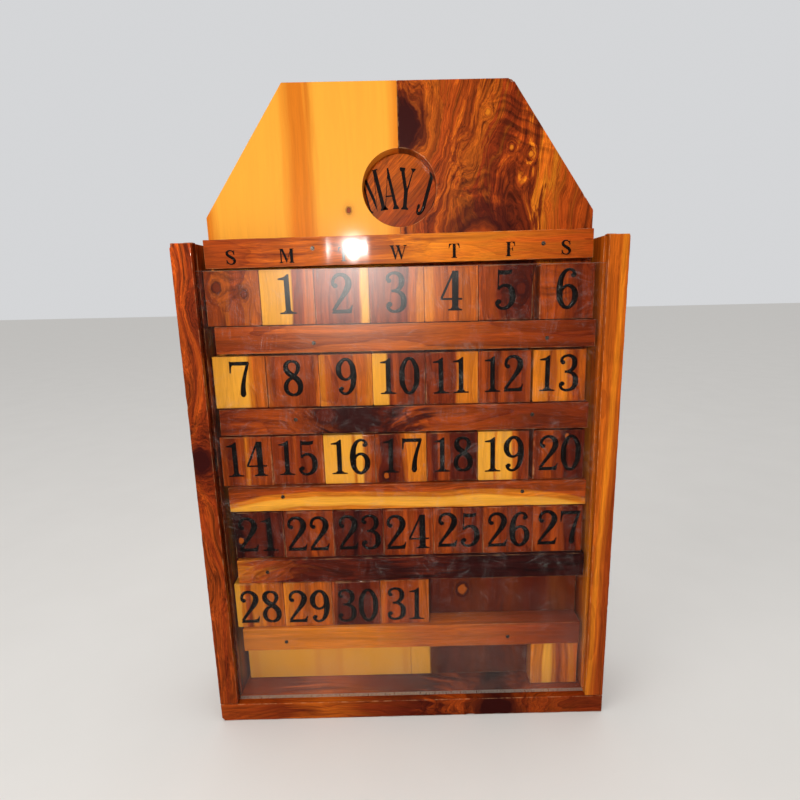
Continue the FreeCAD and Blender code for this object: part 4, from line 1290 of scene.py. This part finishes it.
TILE_LOOKS = {
    "blank_tile_1": dict(
        bands="russet 0.3 orange 0.45 russet 0.75 orange", swirl=2.2,
        knots=[(-7.0, 5.0, 2.0, "red"), (5.5, 2.0, 1.4, "red")], ragged=0.4,
        curls=[(-2.0, 5.0, 12.0)]),
    "tile_01": dict(bands="straw 0.5 russet 0.8 orange"),
    "tile_02": dict(bands="russet 0.4 red 0.6 russet 0.82 straw"),
    "tile_03": dict(bands="russet 0.5 red 0.72 orange 0.9 amber"),
    "tile_04": dict(bands="amber 0.15 orange"),
    "tile_05": dict(
        bands="russet 0.48 maroon", swirl=2.6, softness=0.1, ragged=0.5,
        knots=[(7.0, 2.0, 2.4, "maroon")], curls=[(4.0, 0.0, 11.0)]),
    # tile_06's thin amber band at its left edge is partly sapwood and partly painted light: it lightens the left
    # side face as if lit from the left.
    "tile_06": dict(
        bands="amber 0.012 russet 0.4 red", swirl=2.0, softness=0.01, ragged=0.1,
        curls=[(-6.0, 1.0, 13.0)]),
    "tile_07": dict(bands="straw 0.66 amber 0.76 orange"),
    "tile_08": dict(bands="orange 0.12 russet 0.88 orange"),
    "tile_09": dict(bands="amber 0.14 orange 0.3 russet 0.62 orange 0.85 amber"),
    "tile_10": dict(bands="straw 0.25 red 0.35 russet 0.5 red"),
    "tile_11": dict(bands="red 0.62 amber"),
    "tile_12": dict(bands="russet 0.3 red 0.4 russet 0.55 red 0.9 russet"),
    "tile_13": dict(bands="amber 0.28 orange 0.45 amber 0.65 orange 0.76 russet 0.9 orange"),
    "tile_14": dict(bands="russet 0.12 red 0.34 russet 0.48 amber 0.56 russet"),
    "tile_15": dict(bands="red 0.4 russet 0.5 red 0.9 russet"),
    "tile_16": dict(bands="straw 0.55 amber 0.6 straw 0.76 orange 0.88 russet"),
    "tile_17": dict(
        bands="russet 0.12 maroon 0.4 red 0.52 orange 0.62 amber",
        knots=[(-7.5, -9.0, 1.3, "orange")]),
    "tile_18": dict(bands="red 0.12 maroon 0.26 russet 0.5 maroon"),
    "tile_19": dict(bands="straw 0.32 amber 0.38 straw 0.64 orange 0.74 red"),
    "tile_20": dict(
        bands="red 0.14 russet 0.42 red 0.62 maroon", curls=[(-3.0, 8.0, 9.0)],
        knots=[(4.0, 9.5, 1.2, "orange")]),
    "tile_21": dict(
        bands="dark 0.22 maroon 0.64 dark 0.8 maroon", knots=[(-9.5, -2.5, 1.5, "orange")]),
    "tile_22": dict(bands="red 0.5 russet 0.78 red 0.88 russet"),
    "tile_23": dict(bands="maroon 0.4 dark 0.52 maroon"),
    "tile_24": dict(bands="red 0.28 russet 0.62 red 0.86 russet"),
    "tile_25": dict(bands="russet 0.4 red 0.76 maroon 0.88 red"),
    "tile_26": dict(bands="russet 0.3 red"),
    "tile_27": dict(bands="russet 0.16 red 0.38 russet 0.6 maroon 0.86 red"),
    "tile_28": dict(bands="straw 0.14 amber 0.26 russet 0.36 amber 0.66 orange"),
    "tile_29": dict(bands="amber 0.2 orange"),
    "tile_30": dict(bands="russet 0.1 maroon 0.9 red", swirl=2.0),
    "tile_31": dict(bands="orange 0.14 russet 0.85 orange"),
    "blank_tile_2": dict(
        bands="amber 0.26 straw 0.42 amber 0.52 russet 0.62 orange 0.78 amber 0.9 orange"),
}
# How far each row's numbers stand above the foot of their tiles, and how tall they are, in
# millimetres.
STAMPED_MM = {1: (5.0, 18.2), 2: (5.5, 17.5), 3: (4.9, 17.9), 4: (3.8, 18.6), 5: (2.4, 18.5)}
TILE_SEED = 100
STAMP_SEED = 500
PRINT_LIFT = 0.09 * MM


def tile(name, seed):
    """A loose tile with its corners worn a little differently from its neighbours'."""
    low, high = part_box(name)
    piece = new_block(name + "_wood", low, high)
    draw = random.Random(seed)
    weights = piece.data.attributes.new("bevel_weight_edge", "FLOAT", "EDGE")
    for value in weights.data:
        value.value = draw.uniform(0.45, 1.0) if draw.random() < 0.8 else 1.6
    open_arris(piece)
    modifier = piece.modifiers.new("worn", "BEVEL")
    modifier.material = 1
    modifier.limit_method = "WEIGHT"
    modifier.width = 0.55 * MM
    modifier.segments = 3
    apply_modifiers(piece)
    mark_arris(piece)
    look = {"softness": 0.025, **TILE_LOOKS[name]}
    finish_wood(piece, Cedar(name, low, high, seed=seed, **look).material, name)


def stamp(name, day):
    """A day's number, never quite in the middle or quite upright."""
    low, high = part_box(name)
    draw = random.Random(STAMP_SEED + day)
    middle = (low[0] + high[0]) / 2 + draw.uniform(-0.5, 0.5) * MM
    rise_mm, tall_mm = STAMPED_MM[day // DAYS_A_ROW + 1]
    baseline = low[2] + (rise_mm + draw.uniform(-0.3, 0.3)) * MM
    spot = Matrix.Translation((middle, low[1] + PRINT_LIFT, baseline))
    spot = spot @ Matrix.Rotation(math.radians(draw.uniform(-0.8, 0.8)), 4, "Y")
    write(f"number_{day:02d}", str(day), spot, tall_mm, body_of_node[name], 1.07)


for index, name in enumerate(TILE_NAMES):
    tile(name, TILE_SEED + index)
    if not name.startswith("blank"):
        stamp(name, index)

# ---------------------------------------------------------------- month wheel

MONTHS = ("JAN", "FEB", "MAR", "APR", "MAY", "JUN", "JUL", "AUG", "SEP", "OCT", "NOV", "DEC")
SHOWN = MONTHS.index("MAY")
SHOWN_TURN = math.radians(-3.5)
MONTH_TURN = math.radians(30)
LETTER_TURN = math.radians(9.5)
LETTER_OUT = 39.5 * MM

joint = next(item for item in frame["joints"] if item["name"] == "wheel_turn")
pivot = Vector(joint["pos_m"])
wheel_low, wheel_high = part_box("month_wheel")
wheel_middle = (pivot.x, (wheel_low[1] + wheel_high[1]) / 2, pivot.z)
wheel = new_disc((wheel_high[0] - wheel_low[0]) / 2, wheel_high[1] - wheel_low[1], wheel_middle, 160)
wheel.name = wheel.data.name = "month_wheel_wood"
ease_edges(wheel, 0.7)
wheel_wood = Cedar(
    "wheel", wheel_low, wheel_high, "orange 0.3 russet 0.45 orange 0.52 russet 0.7 orange",
    grain=-0.75, seed=51, spacing=1.6, line=0.5, softness=0.05, contrast=1.2)
finish_wood(wheel, wheel_wood.material, "month_wheel")

hub = Matrix.Translation((pivot.x, wheel_low[1] + PRINT_LIFT, pivot.z))
for index, month in enumerate(MONTHS):
    # months run round clockwise as read, so that the next one comes in from the right
    middle = SHOWN_TURN + (index - SHOWN) * MONTH_TURN
    for place, letter in enumerate(month):
        turned = Matrix.Rotation(middle + (place - 1) * LETTER_TURN, 4, "Y")
        spot = hub @ turned @ Matrix.Translation((0, 0, LETTER_OUT))
        write(f"month_{index + 1}_{place + 1}", letter, spot, 19.0, "wheel", 0.56)

# ---------------------------------------------------------------- fasteners and cover

FASTENERS = (
    "rail_brads", "strip_brads", "left_side_nails", "right_side_nails", "base_nails",
    "wheel_screw", "wheel_washer",
)
for name in FASTENERS:
    for material_slot in frame["nodes"][name].material_slots:
        material_slot.material = STEEL

cover = new_block("front_cover_sheet", cover_low, cover_high)
ease_edges(cover, 0.25, 2)
smooth(cover)
cover.data.materials.clear()
cover.data.materials.append(cover_finish(cover_low, cover_high))
cover.data.materials.append(cut_edge_finish())
for face in cover.data.polygons:
    face.material_index = int(abs(face.normal.y) < 0.5)
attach(cover, "cover")
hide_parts("front_cover")

# ---------------------------------------------------------------- floor, light and camera

deselect()
bpy.ops.mesh.primitive_plane_add(size=12, location=(0, 0, 0))
floor = bpy.context.object
floor.name = "floor"
paint = Shader("floor_paint")
clouds = paint.noise(paint.place_mm(), 0.02, detail=3.0)
paint.set(Base_Color=paint.mix(clouds, (0.74, 0.72, 0.69, 1), (0.78, 0.76, 0.73, 1)), Roughness=0.75)
floor.data.materials.append(paint.material)
floor.visible_glossy = False

# The sky is pale to look at, softer as a lamp and dim in the lacquer's shine.
SKY = (0.92, 0.93, 0.95, 1)
SKY_AS_LAMP, SKY_SEEN = 0.22, 0.72
SKY_IN_SHINE = 0.25
world = bpy.data.worlds.new("studio")
bpy.context.scene.world = world
world.use_nodes = True
nodes, links = world.node_tree.nodes, world.node_tree.links
ray = nodes.new("ShaderNodeLightPath").outputs


def by_ray(kind, otherwise, then):
    """One value for rays of a kind and another for the rest."""
    made = nodes.new("ShaderNodeMapRange")
    made.inputs["To Min"].default_value = otherwise
    made.inputs["To Max"].default_value = then
    links.new(ray[kind], made.inputs["Value"])
    return made.outputs["Result"]


strength = nodes.new("ShaderNodeMath")
strength.operation = "MULTIPLY"
links.new(by_ray("Is Camera Ray", SKY_AS_LAMP, SKY_SEEN), strength.inputs[0])
links.new(by_ray("Is Glossy Ray", 1.0, SKY_IN_SHINE), strength.inputs[1])
sky = nodes["Background"].inputs
sky["Color"].default_value = SKY
links.new(strength.outputs["Value"], sky["Strength"])


def area_light(name, place, target, size, power, colour, spread=180):
    """A lamp at a place, turned towards its target; size in metres, power in watts."""
    data = bpy.data.lights.new(name, "AREA")
    data.size = size
    data.energy = power
    data.color = colour
    data.spread = math.radians(spread)
    lamp = in_scene(name, data)
    lamp.location = place
    lamp.rotation_euler = (Vector(target) - Vector(place)).to_track_quat("-Z", "Y").to_euler()
    return lamp


# A small lamp beside the eye is mirrored by the strip and the cover; a larger one round it and
# a fill light the wood, and a broad sky lamp stands over all.
KEY_PLACE = (-0.0745, -0.5340, 0.2861)
key = area_light("key", KEY_PLACE, (0, 0, 0.20), 0.16, 0.23, (1.0, 0.95, 0.88), spread=110)
key.visible_glossy = False
spark = area_light("spark", KEY_PLACE, (0, 0, 0.24), 0.022, 0.50, (1.0, 0.97, 0.92), spread=110)
spark.data.shape = "DISK"
area_light("fill", (-0.9, -0.7, 0.9), (0, 0, 0.15), 0.7, 3.6, (1.0, 0.97, 0.94))
overhead = in_scene("overhead", bpy.data.lights.new("overhead", "SUN"))
overhead.data.energy = 1.7
overhead.data.angle = math.radians(60)

CAMERA_PLACE = Vector((0.00293, -0.26180, 0.22202))
PITCH, YAW, ROLL = math.radians(11.90), math.radians(0.22), math.radians(-1.24)
ahead_flat = Vector((math.sin(YAW), math.cos(YAW), 0))
right_flat = Vector((math.cos(YAW), -math.sin(YAW), 0))
upward = Vector((0, 0, 1))
ahead = ahead_flat * math.cos(PITCH) - upward * math.sin(PITCH)
above = upward * math.cos(PITCH) + ahead_flat * math.sin(PITCH)
right = right_flat * math.cos(ROLL) + above * math.sin(ROLL)
up = above * math.cos(ROLL) - right_flat * math.sin(ROLL)
turn = Matrix((right, up, -ahead)).transposed().to_4x4()

lens = bpy.data.cameras.new("camera")
lens.lens = 23.59
lens.sensor_width = 36
lens.shift_x = -0.0156
lens.shift_y = 0.0031
lens.clip_start = 0.01
camera = in_scene("camera", lens)
camera.matrix_world = Matrix.Translation(CAMERA_PLACE) @ turn
bpy.context.scene.camera = camera
bpy.context.scene.view_settings.view_transform = "Standard"
